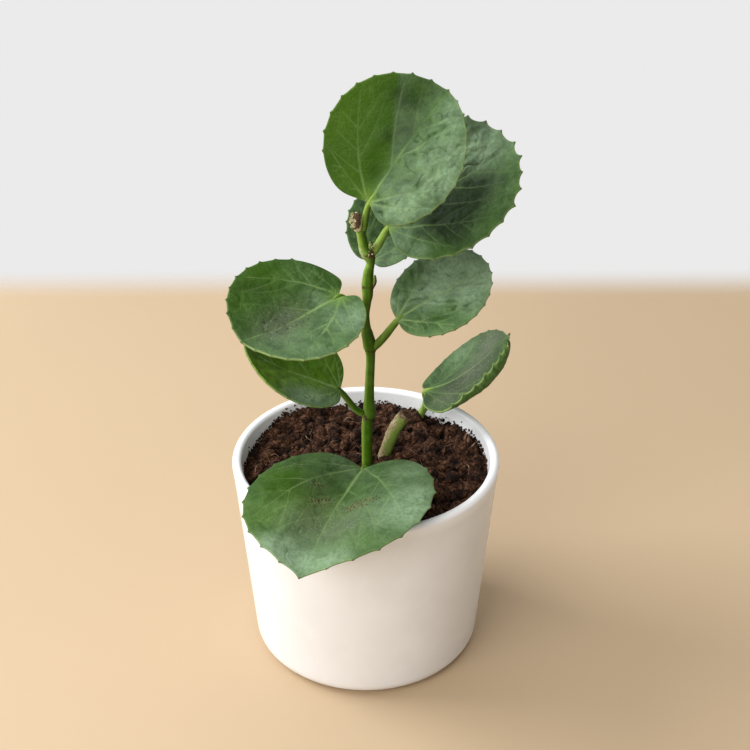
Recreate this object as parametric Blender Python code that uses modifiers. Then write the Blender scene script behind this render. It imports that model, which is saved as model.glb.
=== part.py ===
"""Potted cissus: a young climber with eight round, toothed leaves in a white ceramic pot.

Metres, +Z up. The origin is the centre of the pot's base, and -Y is the front.
"""

import math
import random
from dataclasses import dataclass

import bmesh
import bpy
import numpy as np
from mathutils import Matrix, Vector

# Pot
POT_HEIGHT = 0.0975
RIM_RADIUS = 0.060
BASE_RADIUS = 0.052
WALL = 0.0042
FLOOR = 0.005
BASE_ROUNDING = 0.007
FLOOR_ROUNDING = 0.006
POT_SIDES = 64

# Soil
SOIL_LEVEL = 0.0875
SOIL_MOUND = 0.0012
CLOD_HEIGHT = 0.0009
SOIL_RINGS = 10
SOIL_SIDES = 48

# Clearance between pieces that touch
GAP = 0.0003

# Leaves
BLADE_THICKNESS = 0.0013
PETIOLE_TIP_RADIUS = 0.0011
PETIOLE_SUNK = 0.0045
TEETH_ROUND = 26
POINTS_A_TOOTH = 3
TOOTH_SHARPNESS = 3.0
TOOTH_INSET = 0.15
TOOTH_HEIGHTS = (0.7, 1.2)
TOOTHLESS_FROM = math.radians(128)
RING_SHARES = (0.92, 0.80, 0.64, 0.44, 0.22)
CURL_FROM = 0.5
CURL_POWER = 2
BEND_STEPS = 16

# Stem
STEM_FOOT = 0.064
FOOT_RADIUS = 0.0022
TUBE_RESOLUTION = 4
POINTS_A_SPAN = 4

LEAF_GREEN = (0.075, 0.16, 0.035)
STEM_GREEN = (0.16, 0.27, 0.035)
BARK_TAN = (0.36, 0.28, 0.13)
DRIED_BROWN = (0.10, 0.055, 0.025)
SOIL_BROWN = (0.035, 0.016, 0.009)
POT_WHITE = (0.86, 0.85, 0.83)


@dataclass(frozen=True)
class Leaf:
    """One leaf. Lengths are in metres and angles in degrees."""

    name: str
    # Where the veins meet, and the points that the petiole passes on its way there
    base: tuple
    route: tuple
    # The midrib's compass angle, its slope, and the turn of the blade about it
    heading: float
    rise: float
    roll: float
    # Flat outline: how far the basal lobes reach back, how low its widest point lies, how much wider
    # the right half is, and how wide the notch at the petiole opens
    length: float
    width: float
    lobe: float
    egg: float = 0.0
    skew: float = 0.0
    sinus: float = 0.31
    # Upward slope of the left and right halves: at the midrib, added out to the margin, added near it
    fold: tuple = (10.0, 10.0)
    turn: tuple = (5.0, 5.0)
    curl: tuple = (0.0, 0.0)
    # Downward bend of the midrib: even along it, and added towards the tip
    bend: float = 0.0
    droop: float = 0.0
    # Height of the teeth on each side, and radius of the petiole
    teeth: tuple = (0.0009, 0.0009)
    petiole: float = 0.0018
    in_soil: bool = False


LEAVES = (
    Leaf("leaf_top", base=(0.0015, -0.0020, 0.2193),
         route=((-0.0012, 0.0005, 0.2045), (-0.0002, 0.0008, 0.2085), (0.0005, 0.0002, 0.2140)),
         heading=-81, rise=59.5, roll=35, length=0.0551, width=0.0638, lobe=0.0050, skew=-0.022,
         fold=(28, 17), turn=(13, -27), bend=18, droop=-7, petiole=0.0014),
    Leaf("leaf_upper_right", base=(0.0094, 0.0080, 0.2040),
         route=((0.0012, 0.0004, 0.1940), (0.0052, 0.0025, 0.1985)),
         heading=-76, rise=30, roll=28.5, length=0.0620, width=0.0672, lobe=0.0052, egg=0.05, sinus=0.34,
         fold=(10, 8.5), turn=(6, 2), bend=3, droop=-11, teeth=(0.0020, 0.0020)),
    Leaf("leaf_back", base=(0.0025, 0.0100, 0.1875),
         route=((0.0010, 0.0002, 0.1790), (0.0017, 0.0055, 0.1825)),
         heading=-41.5, rise=41, roll=11, length=0.0387, width=0.0389, lobe=0.0020, egg=-0.053, skew=-0.043,
         sinus=0.25, fold=(5, 7), turn=(9, 13), bend=-1.5),
    Leaf("leaf_middle_left", base=(-0.0106, -0.0030, 0.1779),
         route=((0.0006, -0.0002, 0.1715), (-0.0050, -0.0022, 0.1735)),
         heading=129, rise=-10.5, roll=-19.3, length=0.0525, width=0.0599, lobe=0.0063, egg=-0.03, skew=0.04,
         sinus=0.12, fold=(10.5, 9), turn=(10, 6), bend=-3.5, droop=-23),
    Leaf("leaf_middle_right", base=(0.0134, -0.0030, 0.1664),
         route=((0.0022, 0.0, 0.1502), (0.0075, -0.0012, 0.1567)),
         heading=-76.5, rise=24.7, roll=18.8, length=0.0453, width=0.0468, lobe=0.0015, egg=-0.016, skew=0.01,
         sinus=0.345, fold=(5, 9.5), turn=(-2.5, 2), bend=-2.5, droop=-16),
    Leaf("leaf_lower_left", base=(-0.0109, -0.0060, 0.1339),
         route=((0.0010, 0.0, 0.1170), (-0.0045, -0.0022, 0.1220)),
         heading=89, rise=16.8, roll=-15, length=0.0469, width=0.0495, lobe=0.0025, egg=0.078, sinus=0.355,
         fold=(19, 10), turn=(1.5, 5), bend=-18, droop=-15.5, teeth=(0.0004, 0.0004), petiole=0.0015),
    Leaf("leaf_lower_right", base=(0.0278, 0.0360, 0.1083),
         route=((0.0235, 0.0430, 0.0740), (0.0255, 0.0420, 0.0890), (0.0280, 0.0410, 0.0962),
                (0.0290, 0.0398, 0.1008)),
         heading=-90, rise=17, roll=-17, length=0.0474, width=0.0524, lobe=0.0046, egg=-0.095, skew=0.02,
         sinus=0.33, fold=(-3, -21), turn=(42, -14), curl=(0, 125), bend=-41, droop=6.5,
         teeth=(0.0004, 0.0019), in_soil=True),
    Leaf("leaf_front", base=(-0.0013, -0.0060, 0.0927),
         route=((0.0006, -0.0004, 0.0895), (0.0000, -0.0030, 0.0905)),
         heading=164, rise=14.5, roll=-6, length=0.0835, width=0.0818, lobe=0.0042, egg=-0.095, skew=-0.07,
         fold=(35, 21), turn=(-24, -39), bend=26.5, droop=-3.5, teeth=(0.0013, 0.0013), in_soil=True),
)

# Axes as (x, y, z, radius), swollen at each node
STEM_ROUTE = (
    (0.0005, 0.0, STEM_FOOT, FOOT_RADIUS),
    (0.0006, 0.0, 0.0900, 0.00240),
    (0.0006, 0.0, 0.1100, 0.00245),
    (0.0009, 0.0, 0.1150, 0.00255),
    (0.0014, 0.0, 0.1180, 0.00290),
    (0.0016, 0.0, 0.1205, 0.00270),
    (0.0015, 0.0, 0.1250, 0.00230),
    (0.0018, 0.0, 0.1350, 0.00205),
    (0.0022, 0.0, 0.1455, 0.00200),
    (0.0021, 0.0, 0.1490, 0.00220),
    (0.0020, 0.0, 0.1513, 0.00270),
    (0.0015, 0.0, 0.1547, 0.00280),
    (0.0007, 0.0, 0.1587, 0.00250),
    (0.0004, 0.0, 0.1625, 0.00180),
    (0.0003, 0.0, 0.1680, 0.00155),
    (0.0007, 0.0, 0.1735, 0.00190),
    (0.0010, 0.0, 0.1770, 0.00230),
    (0.0010, 0.0, 0.1820, 0.00250),
    (0.0014, 0.0, 0.1875, 0.00210),
    (0.0021, 0.0, 0.1905, 0.00180),
    (0.0023, 0.0, 0.1922, 0.00185),
    (0.0018, 0.0, 0.1945, 0.00255),
    (0.0006, 0.0, 0.1968, 0.00275),
    (-0.0006, 0.0, 0.1998, 0.00220),
    (-0.0013, 0.0, 0.2032, 0.00195),
    (-0.0019, 0.0, 0.2063, 0.00180),
)
BUDS = (
    ((0.0028, -0.0003, 0.1805, 0.0009), (0.0040, -0.0004, 0.1832, 0.0009), (0.0041, -0.0004, 0.1862, 0.0004)),
    ((0.0019, -0.0004, 0.1975, 0.0011), (0.0024, -0.0008, 0.1998, 0.0011), (0.0024, -0.0009, 0.2020, 0.0005)),
)
TIP_ROUTE = (
    (-0.0027, -0.0009, 0.2068, 0.0010),
    (-0.0031, -0.0011, 0.2080, 0.0017),
    (-0.0035, -0.0012, 0.2102, 0.0021),
    (-0.0036, -0.0012, 0.2125, 0.0021),
    (-0.0033, -0.0011, 0.2148, 0.0014),
)
STUMP_ROUTE = (
    (0.0040, 0.0108, 0.0730, 0.0027),
    (0.0083, 0.0108, 0.0884, 0.0027),
    (0.0108, 0.0109, 0.0962, 0.0029),
    (0.0133, 0.0110, 0.1030, 0.0030),
    (0.0163, 0.0110, 0.1082, 0.0030),
    (0.0186, 0.0110, 0.1110, 0.0029),
)


def clear_scene():
    for old in list(bpy.data.objects):
        bpy.data.objects.remove(old, do_unlink=True)


def new_collection(name):
    made = bpy.data.collections.new(name)
    bpy.context.scene.collection.children.link(made)
    return made


def new_material(name, colour, roughness, coat=0.0):
    made = bpy.data.materials.new(name)
    made.use_nodes = True
    shader = made.node_tree.nodes["Principled BSDF"]
    shader.inputs["Base Color"].default_value = (*colour, 1.0)
    shader.inputs["Roughness"].default_value = roughness
    shader.inputs["Metallic"].default_value = 0.0
    shader.inputs["Coat Weight"].default_value = coat
    made.diffuse_color = (*colour, 1.0)
    return made


def add_object(name, mesh, collection, material=None):
    made = bpy.data.objects.new(name, mesh)
    collection.objects.link(made)
    if material:
        mesh.materials.append(material)
    return made


def as_cutter(thing):
    thing.hide_render = True
    thing.display_type = "WIRE"
    return thing


def add_boolean(target, other, operation):
    """Adds a Boolean modifier that joins or cuts with a closed mesh."""
    step = target.modifiers.new(f"{operation.title()} {other.name}", "BOOLEAN")
    step.operation = operation
    step.solver = "EXACT"
    step.object = other


# Tubes

def smooth_route(keys, points_a_span=POINTS_A_SPAN):
    """Points on a Catmull-Rom curve through keys of (x, y, z, radius)."""
    keys = np.array(keys)
    ends = np.vstack([2 * keys[0] - keys[1], keys, 2 * keys[-1] - keys[-2]])
    points = []
    for i in range(len(keys) - 1):
        p0, p1, p2, p3 = ends[i:i + 4]
        for step in range(points_a_span):
            t = step / points_a_span
            points.append(0.5 * (2 * p1 + (p2 - p0) * t + (2 * p0 - 5 * p1 + 4 * p2 - p3) * t**2
                                 + (3 * p1 - p0 - 3 * p2 + p3) * t**3))
    points.append(keys[-1])
    return points


def roomy(route):
    """The same route made wider and longer by the clearance, for cutting a hole round a tube."""
    path = np.array(route)
    for end, inner in ((0, 1), (-1, -2)):
        outward = path[end, :3] - path[inner, :3]
        path[end, :3] += outward * GAP / np.linalg.norm(outward)
    path[:, 3] += GAP
    return path


def tube_mesh(name, route):
    """A closed tube of varying radius, made with a bevelled curve."""
    curve = bpy.data.curves.new(name, "CURVE")
    curve.dimensions = "3D"
    curve.bevel_depth = 1.0
    curve.bevel_resolution = TUBE_RESOLUTION
    curve.use_fill_caps = True
    spline = curve.splines.new("POLY")
    spline.points.add(len(route) - 1)
    for point, (x, y, z, radius) in zip(spline.points, route):
        point.co = (x, y, z, 1.0)
        point.radius = radius
    holder = bpy.data.objects.new(name, curve)
    bpy.context.scene.collection.objects.link(holder)
    evaluated = holder.evaluated_get(bpy.context.evaluated_depsgraph_get())
    mesh = bpy.data.meshes.new_from_object(evaluated)
    mesh.name = name
    bpy.data.objects.remove(holder, do_unlink=True)
    bpy.data.curves.remove(curve)
    cage = bmesh.new()
    cage.from_mesh(mesh)
    bmesh.ops.remove_doubles(cage, verts=cage.verts, dist=1e-6)
    bmesh.ops.recalc_face_normals(cage, faces=cage.faces)
    cage.to_mesh(mesh)
    cage.free()
    mesh.shade_smooth()
    return mesh


def build_room(name, route, tools):
    """A cutter that leaves the clearance round a tube."""
    return as_cutter(add_object(f"{name}_room", tube_mesh(name, roomy(route)), tools))


# Pot and soil

def pot_radius(height):
    """Outer radius of the straight tapered wall at a height."""
    return BASE_RADIUS + (RIM_RADIUS - BASE_RADIUS) * height / POT_HEIGHT


def corner_arc(centre_x, centre_z, radius, first, last, steps):
    """Points along an arc in the XZ plane, with its angles in degrees."""
    angles = np.radians(np.linspace(first, last, steps))
    return [(centre_x + radius * math.cos(a), centre_z + radius * math.sin(a)) for a in angles]


def pot_profile():
    """Half section of the pot: inside from the floor's centre, over the lip, and down the outside."""
    lip = WALL / 2
    lean = math.degrees(math.atan2(RIM_RADIUS - BASE_RADIUS, POT_HEIGHT))
    floor_edge = pot_radius(FLOOR + FLOOR_ROUNDING) - WALL
    base_edge = pot_radius(BASE_ROUNDING)
    shoulder = FLOOR + FLOOR_ROUNDING
    inner = corner_arc(floor_edge - FLOOR_ROUNDING, shoulder, FLOOR_ROUNDING, 270, 360 - lean, 5)
    over = corner_arc(RIM_RADIUS - lip, POT_HEIGHT - lip, lip, 180 - lean, -lean, 9)
    outer = corner_arc(base_edge - BASE_ROUNDING, BASE_ROUNDING, BASE_ROUNDING, -lean, -90, 6)
    return [(0.0, FLOOR), *inner, *over, *outer, (0.0, 0.0)]


def build_pot(collection, material):
    mesh = bpy.data.meshes.new("pot")
    profile = pot_profile()
    edges = [(i, i + 1) for i in range(len(profile) - 1)]
    mesh.from_pydata([(x, 0.0, z) for x, z in profile], edges, [])
    pot = add_object("pot", mesh, collection, material)
    turn = pot.modifiers.new("Turn", "SCREW")
    turn.axis = "Z"
    turn.steps = POT_SIDES
    turn.render_steps = POT_SIDES
    turn.use_merge_vertices = True
    turn.merge_threshold = 1e-5
    turn.use_smooth_shade = True
    return pot


def soil_height(x, y):
    """Crumbly surface: a low mound with clods of a few sizes."""
    share = math.hypot(x, y) / RIM_RADIUS
    clods = (math.sin(310 * x + 1.3) * math.sin(270 * y + 0.4)
             + 0.7 * math.sin(520 * x - 430 * y + 2.1)
             + 0.6 * math.sin(610 * x + 690 * y + 0.7))
    return SOIL_LEVEL + SOIL_MOUND * (1 - share**2) + CLOD_HEIGHT * clods / 2


def build_soil(collection, material, cutters):
    """A plug of soil that fills the pot, with a hole for each stem that stands in it."""
    low = FLOOR + GAP
    foot_radius = pot_radius(FLOOR + FLOOR_ROUNDING) - WALL - FLOOR_ROUNDING
    shoulder = FLOOR + FLOOR_ROUNDING
    cage = bmesh.new()

    def ring(radius, height=None):
        made = []
        for i in range(SOIL_SIDES):
            angle = 2 * math.pi * i / SOIL_SIDES
            x = radius * math.cos(angle)
            y = radius * math.sin(angle)
            made.append(cage.verts.new((x, y, soil_height(x, y) if height is None else height)))
        return made

    top_radius = pot_radius(SOIL_LEVEL) - WALL - GAP
    rings = [ring(top_radius * (i + 1) / SOIL_RINGS) for i in range(SOIL_RINGS)]
    rings.append(ring(pot_radius(shoulder) - WALL - GAP, shoulder + GAP))
    rings.append(ring(foot_radius, low))
    crown = cage.verts.new((0.0, 0.0, soil_height(0.0, 0.0)))
    under = cage.verts.new((0.0, 0.0, low))
    for i in range(SOIL_SIDES):
        j = (i + 1) % SOIL_SIDES
        cage.faces.new((crown, rings[0][i], rings[0][j]))
        cage.faces.new((under, rings[-1][j], rings[-1][i]))
        for inner, outer in zip(rings, rings[1:]):
            cage.faces.new((inner[i], outer[i], outer[j], inner[j]))
    bmesh.ops.triangulate(cage, faces=cage.faces)
    mesh = bpy.data.meshes.new("soil")
    cage.to_mesh(mesh)
    cage.free()
    soil = add_object("soil", mesh, collection, material)
    for cutter in cutters:
        add_boolean(soil, cutter, "DIFFERENCE")
    return soil


# Leaves

def outline_point(leaf, angle):
    """Flat margin at an angle from the tip, with the veins' meeting point at the origin."""
    centre = (leaf.length - leaf.lobe) / 2
    reach = (leaf.length + leaf.lobe) / 2
    side = math.copysign(1.0, angle) if angle else 0.0
    x = leaf.width / 2 * math.sin(angle) * (1 - leaf.egg * math.cos(angle)) * (1 + leaf.skew * side)
    notch = leaf.lobe * math.exp(-(((math.pi - abs(angle)) / leaf.sinus) ** 2))
    return x, centre + reach * math.cos(angle) + notch


def toothed_point(leaf, angle, phase, height):
    """Margin point moved outwards by its place between two teeth."""
    x, y = outline_point(leaf, angle)
    if abs(angle) > TOOTHLESS_FROM:
        return x, y
    rise = (1 - 2 * min(phase, 1 - phase)) ** TOOTH_SHARPNESS
    out = Vector((x, y - (leaf.length - leaf.lobe) / 2)).normalized()
    step = leaf.teeth[1 if angle > 0 else 0] * (height * rise - TOOTH_INSET)
    return x + out.x * step, y + out.y * step


def lean_of(leaf, share):
    """How far the midrib has bent down at a share of its length, in radians."""
    return np.radians(leaf.bend * share + leaf.droop * np.maximum(share, 0) ** 3)


def bent_point(leaf, x, y):
    """A flat point of the blade, folded about the midrib and bent along it."""
    side = 1 if x > 0 else 0
    steps = (np.arange(BEND_STEPS) + 0.5) / BEND_STEPS
    q = abs(x) / (leaf.width / 2) * steps
    edge = np.clip((q - CURL_FROM) / (1 - CURL_FROM), 0, None)
    slope = np.radians(leaf.fold[side] + leaf.turn[side] * q + leaf.curl[side] * edge**CURL_POWER)
    across = x * np.cos(slope).mean()
    lift = abs(x) * np.sin(slope).mean()
    share = y / leaf.length
    lean = lean_of(leaf, share * steps)
    end = lean_of(leaf, share)
    return Vector((across,
                   y * np.cos(lean).mean() + lift * np.sin(end),
                   lift * np.cos(end) - y * np.sin(lean).mean()))


def leaf_matrix(leaf):
    turn = Matrix.Rotation(math.radians(leaf.heading), 4, "Z")
    tilt = Matrix.Rotation(math.radians(leaf.rise), 4, "X")
    roll = Matrix.Rotation(math.radians(leaf.roll), 4, "Y")
    return Matrix.Translation(leaf.base) @ turn @ tilt @ roll


def blade_mesh(leaf):
    """Open surface of the blade: a toothed margin round smooth rings and a centre."""
    draw = random.Random(leaf.name)
    cage = bmesh.new()
    centre_y = (leaf.length - leaf.lobe) / 2
    slot = 2 * math.pi / TEETH_ROUND
    margin = []
    for tooth in range(TEETH_ROUND):
        height = draw.uniform(*TOOTH_HEIGHTS)
        for i in range(POINTS_A_TOOTH):
            phase = i / POINTS_A_TOOTH
            angle = -math.pi + slot * (tooth + phase)
            margin.append(toothed_point(leaf, angle, phase, height))
    smooth = [outline_point(leaf, -math.pi + slot * tooth) for tooth in range(TEETH_ROUND)]

    def place(flat, share=1.0):
        x = flat[0] * share
        y = centre_y + (flat[1] - centre_y) * share
        return cage.verts.new(bent_point(leaf, x, y))

    rim = [place(flat) for flat in margin]
    rings = [[place(flat, share) for flat in smooth] for share in RING_SHARES]
    hub = cage.verts.new(bent_point(leaf, 0.0, centre_y))
    for i in range(TEETH_ROUND):
        j = (i + 1) % TEETH_ROUND
        near, far = rings[0][i], rings[0][j]
        a, b, c = rim[POINTS_A_TOOTH * i:POINTS_A_TOOTH * (i + 1)]
        d = rim[POINTS_A_TOOTH * j]
        for corners in ((near, a, b), (near, b, far), (far, b, c), (far, c, d)):
            cage.faces.new(corners)
        for outer, inner in zip(rings, rings[1:]):
            cage.faces.new((inner[i], outer[i], outer[j]))
            cage.faces.new((inner[i], outer[j], inner[j]))
        cage.faces.new((hub, rings[-1][i], rings[-1][j]))
    bmesh.ops.recalc_face_normals(cage, faces=cage.faces)
    mesh = bpy.data.meshes.new(leaf.name)
    cage.to_mesh(mesh)
    cage.free()
    mesh.shade_smooth()
    return mesh


def petiole_route(leaf):
    """From its root to a place inside the blade, just past the point where the veins meet."""
    matrix = leaf_matrix(leaf)
    sunk = matrix @ (bent_point(leaf, 0.0, PETIOLE_SUNK) + Vector((0, 0, -0.0002)))
    meet = matrix @ Vector((0, 0, -0.0006))
    keys = [(*point, leaf.petiole) for point in leaf.route]
    keys.append((*meet, (leaf.petiole + PETIOLE_TIP_RADIUS) / 2))
    keys.append((*sunk, PETIOLE_TIP_RADIUS * 0.6))
    return smooth_route(keys)


def build_leaf(leaf, collection, tools, material, rooms):
    mesh = blade_mesh(leaf)
    blade = add_object(leaf.name, mesh, collection, material)
    blade.matrix_world = leaf_matrix(leaf)
    thick = blade.modifiers.new("Thickness", "SOLIDIFY")
    thick.thickness = BLADE_THICKNESS
    thick.offset = 0.0
    petiole = as_cutter(add_object(f"{leaf.name}_petiole", tube_mesh(leaf.name, petiole_route(leaf)), tools))
    add_boolean(blade, petiole, "UNION")
    for room in rooms:
        add_boolean(blade, room, "DIFFERENCE")
    return blade


# Stem, dried tip and stump

def build_stem(collection, tools, material):
    stem = add_object("stem", tube_mesh("stem", smooth_route(STEM_ROUTE, 3)), collection, material)
    for number, keys in enumerate(BUDS, 1):
        bud = as_cutter(add_object(f"bud_{number}", tube_mesh("bud", smooth_route(keys)), tools))
        add_boolean(stem, bud, "UNION")
    return stem


def main():
    clear_scene()
    plant = new_collection("potted cissus")
    tools = new_collection("cutters")
    leaf_green = new_material("leaf", LEAF_GREEN, 0.45)
    stem_green = new_material("stem", STEM_GREEN, 0.5)
    bark = new_material("bark", BARK_TAN, 0.85)
    dried = new_material("dried tissue", DRIED_BROWN, 0.9)
    earth = new_material("soil", SOIL_BROWN, 0.95)
    ceramic = new_material("ceramic", POT_WHITE, 0.35, coat=0.3)

    build_pot(plant, ceramic)
    build_stem(plant, tools, stem_green)
    stem_room = build_room("stem", smooth_route(STEM_ROUTE, 3), tools)
    tip_room = build_room("dried_tip", smooth_route(TIP_ROUTE), tools)
    holes = [stem_room, build_room("stump", smooth_route(STUMP_ROUTE), tools)]
    add_object("stump", tube_mesh("stump", smooth_route(STUMP_ROUTE)), plant, bark)
    add_object("dried_tip", tube_mesh("dried_tip", smooth_route(TIP_ROUTE)), plant, dried)
    for leaf in LEAVES:
        build_leaf(leaf, plant, tools, leaf_green, (stem_room, tip_room))
        if leaf.in_soil:
            holes.append(build_room(leaf.name, petiole_route(leaf), tools))
    build_soil(plant, earth, holes)


main()
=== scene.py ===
"""Dressed potted cissus: round toothed leaves on a jointed green stem, in coir soil in a white glazed pot.

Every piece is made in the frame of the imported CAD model: metres, +Z up, the origin under the pot's
centre, -Y the front.
"""

import logging
import math
import random
from collections.abc import Callable, Sequence
from dataclasses import dataclass, field
from enum import Enum

import bmesh
import bpy
import numpy as np
from mathutils import Matrix, Vector


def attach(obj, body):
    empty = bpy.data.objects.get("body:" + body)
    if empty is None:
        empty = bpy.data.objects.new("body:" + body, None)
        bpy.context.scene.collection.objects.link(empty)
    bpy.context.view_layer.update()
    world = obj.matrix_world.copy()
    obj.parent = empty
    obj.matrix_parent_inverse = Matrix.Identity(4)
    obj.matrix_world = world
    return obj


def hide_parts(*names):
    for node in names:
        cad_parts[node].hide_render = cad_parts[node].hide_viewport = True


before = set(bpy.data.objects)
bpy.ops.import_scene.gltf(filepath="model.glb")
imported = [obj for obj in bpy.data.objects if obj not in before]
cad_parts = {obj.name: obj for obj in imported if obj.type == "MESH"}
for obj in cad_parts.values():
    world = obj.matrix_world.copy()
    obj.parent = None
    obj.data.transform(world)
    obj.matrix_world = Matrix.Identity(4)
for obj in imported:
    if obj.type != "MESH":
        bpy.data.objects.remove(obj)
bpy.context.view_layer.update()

LOG = logging.getLogger("cissus")

# Sizes shared with the CAD model
POT_HEIGHT = 0.0975
RIM_RADIUS = 0.06
BASE_RADIUS = 0.052
WALL = 0.0042
SOIL_LEVEL = 0.0875
TEETH_ROUND = 26
TOOTHLESS_FROM = math.radians(128)

Pair = tuple[float, float]
Triple = tuple[float, float, float]
Point = Triple
Colour = Triple
Keys = tuple[tuple[float, float, float, float], ...]
Array = np.ndarray
Material = bpy.types.Material
Piece = bpy.types.Object


class Slot(Enum):
    """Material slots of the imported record."""

    GLAZE = "glazed_pot"
    SOIL = "soil"
    STEM = "green_stem"
    BARK = "bark"
    DRIED = "dried_tissue"
    LEAF = "leaf"


class Noise:
    """Smooth random values through space, the same on each run."""

    cells: int = 32
    offset: float = 7.31

    def __init__(self, seed: int) -> None:
        """Fill the lattice, which repeats after its count of cells."""
        self.grid = np.random.default_rng(seed).random((self.cells,) * 3)

    def at(self, points: Array, size: float) -> Array:
        """Read the noise.

        Args:
            points: Places, as rows of x, y, z in metres.
            size: Width of one lattice cell, in metres.

        Returns:
            One value from -1 to 1 for each place.
        """
        place = np.asarray(points, float) / size + self.offset
        base = np.floor(place).astype(int)
        part = place - base
        part = part * part * (3 - 2 * part)
        total = np.zeros(len(place))
        for step in np.ndindex(2, 2, 2):
            corner = (base + step) % self.cells
            weight = np.where(step, part, 1 - part).prod(axis=1)
            total += weight * self.grid[corner[:, 0], corner[:, 1], corner[:, 2]]
        return total * 2 - 1

    def layered(self, points: Array, size: float, octaves: int = 3) -> Array:
        """Sum the noise at halving sizes, from the largest one in metres, to values from about -1 to 1."""
        return sum(self.at(points, size / 2**k) / 2**k for k in range(octaves)) / 1.5


def smoothstep(low: float, high: float, value: Array) -> Array:
    """Shares that rise smoothly from 0 where the value is low to 1 where it is high."""
    share = np.clip((value - low) / (high - low), 0, 1)
    return share * share * (3 - 2 * share)


def bell(gap: Array, size: float) -> Array:
    """Shares that fall from 1 where there is no gap to almost 0 at twice the size."""
    return np.exp(-((gap / size) ** 2))


def four_channels(*values: Array) -> Array:
    """Put up to four channels in a tint, from 0 to 1 each, with zeros for the ones that are missing."""
    blank = [np.zeros(len(values[0]))] * (4 - len(values))
    return np.clip(np.stack([*values, *blank], 1), 0, 1)


# Shader recipes


class Wire:
    """One output of a node. Python arithmetic on it adds Math nodes."""

    def __init__(self, tree: "Tree", socket: bpy.types.NodeSocket) -> None:
        """Keep the output with its tree."""
        self.tree = tree
        self.socket = socket

    def beside(self, name: str) -> "Wire":
        """Another output of the same node."""
        return Wire(self.tree, self.socket.node.outputs[name])

    def combined(self, operation: str, first: "Wire | float", second: "Wire | float") -> "Wire":
        """Join two numbers with a Math node."""
        operands = {"Value": first, "Value_001": second}
        return self.tree.node("ShaderNodeMath", {"operation": operation}, operands)

    def __add__(self, other: "Wire | float") -> "Wire":
        """Sum."""
        return self.combined("ADD", self, other)

    def __radd__(self, other: "Wire | float") -> "Wire":
        """Sum, with the number first."""
        return self.combined("ADD", other, self)

    def __sub__(self, other: "Wire | float") -> "Wire":
        """Difference."""
        return self.combined("SUBTRACT", self, other)

    def __rsub__(self, other: "Wire | float") -> "Wire":
        """Difference, with the number first."""
        return self.combined("SUBTRACT", other, self)

    def __mul__(self, other: "Wire | float") -> "Wire":
        """Product."""
        return self.combined("MULTIPLY", self, other)

    def __rmul__(self, other: "Wire | float") -> "Wire":
        """Product, with the number first."""
        return self.combined("MULTIPLY", other, self)


class Tree:
    """A node tree of any kind, grown with one method for all its nodes."""

    def __init__(self, graph: bpy.types.NodeTree) -> None:
        """Keep the tree that grows."""
        self.graph = graph

    def connect(self, socket: bpy.types.NodeSocket, value: "Wire | float | str | Sequence[float]") -> None:
        """Link a wire to a socket, or set its value.

        Args:
            socket: The input socket.
            value: A wire, a number, a name, a colour or a vector.
        """
        if isinstance(value, Wire):
            self.graph.links.new(value.socket, socket)
        elif socket.type == "RGBA":
            socket.default_value = (*value, 1.0)
        else:
            socket.default_value = value

    def node(self, kind: str, settings: dict | None = None, sockets: dict | None = None,
             result: str | None = None) -> Wire:
        """Add any node.

        Args:
            kind: The node's type.
            settings: Its properties, set first.
            sockets: Values or wires by input identifier.
            result: Identifier of the output to return, or the first one.

        Returns:
            The chosen output.
        """
        made = self.graph.nodes.new(kind)
        for key, value in (settings or {}).items():
            setattr(made, key, value)
        inputs = {socket.identifier: socket for socket in made.inputs}
        for key, value in (sockets or {}).items():
            self.connect(inputs[key], value)
        outputs = {socket.identifier: socket for socket in made.outputs}
        return Wire(self, outputs[result] if result else made.outputs[0])

    def ramp(self, value: Wire, low: float, high: float, start: float = 0.0, end: float = 1.0) -> Wire:
        """Map the range from low to high smoothly to the one from start to end."""
        return self.node("ShaderNodeMapRange", {"interpolation_type": "SMOOTHSTEP"},
                         {"Value": value, "From Min": low, "From Max": high, "To Min": start, "To Max": end})


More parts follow.
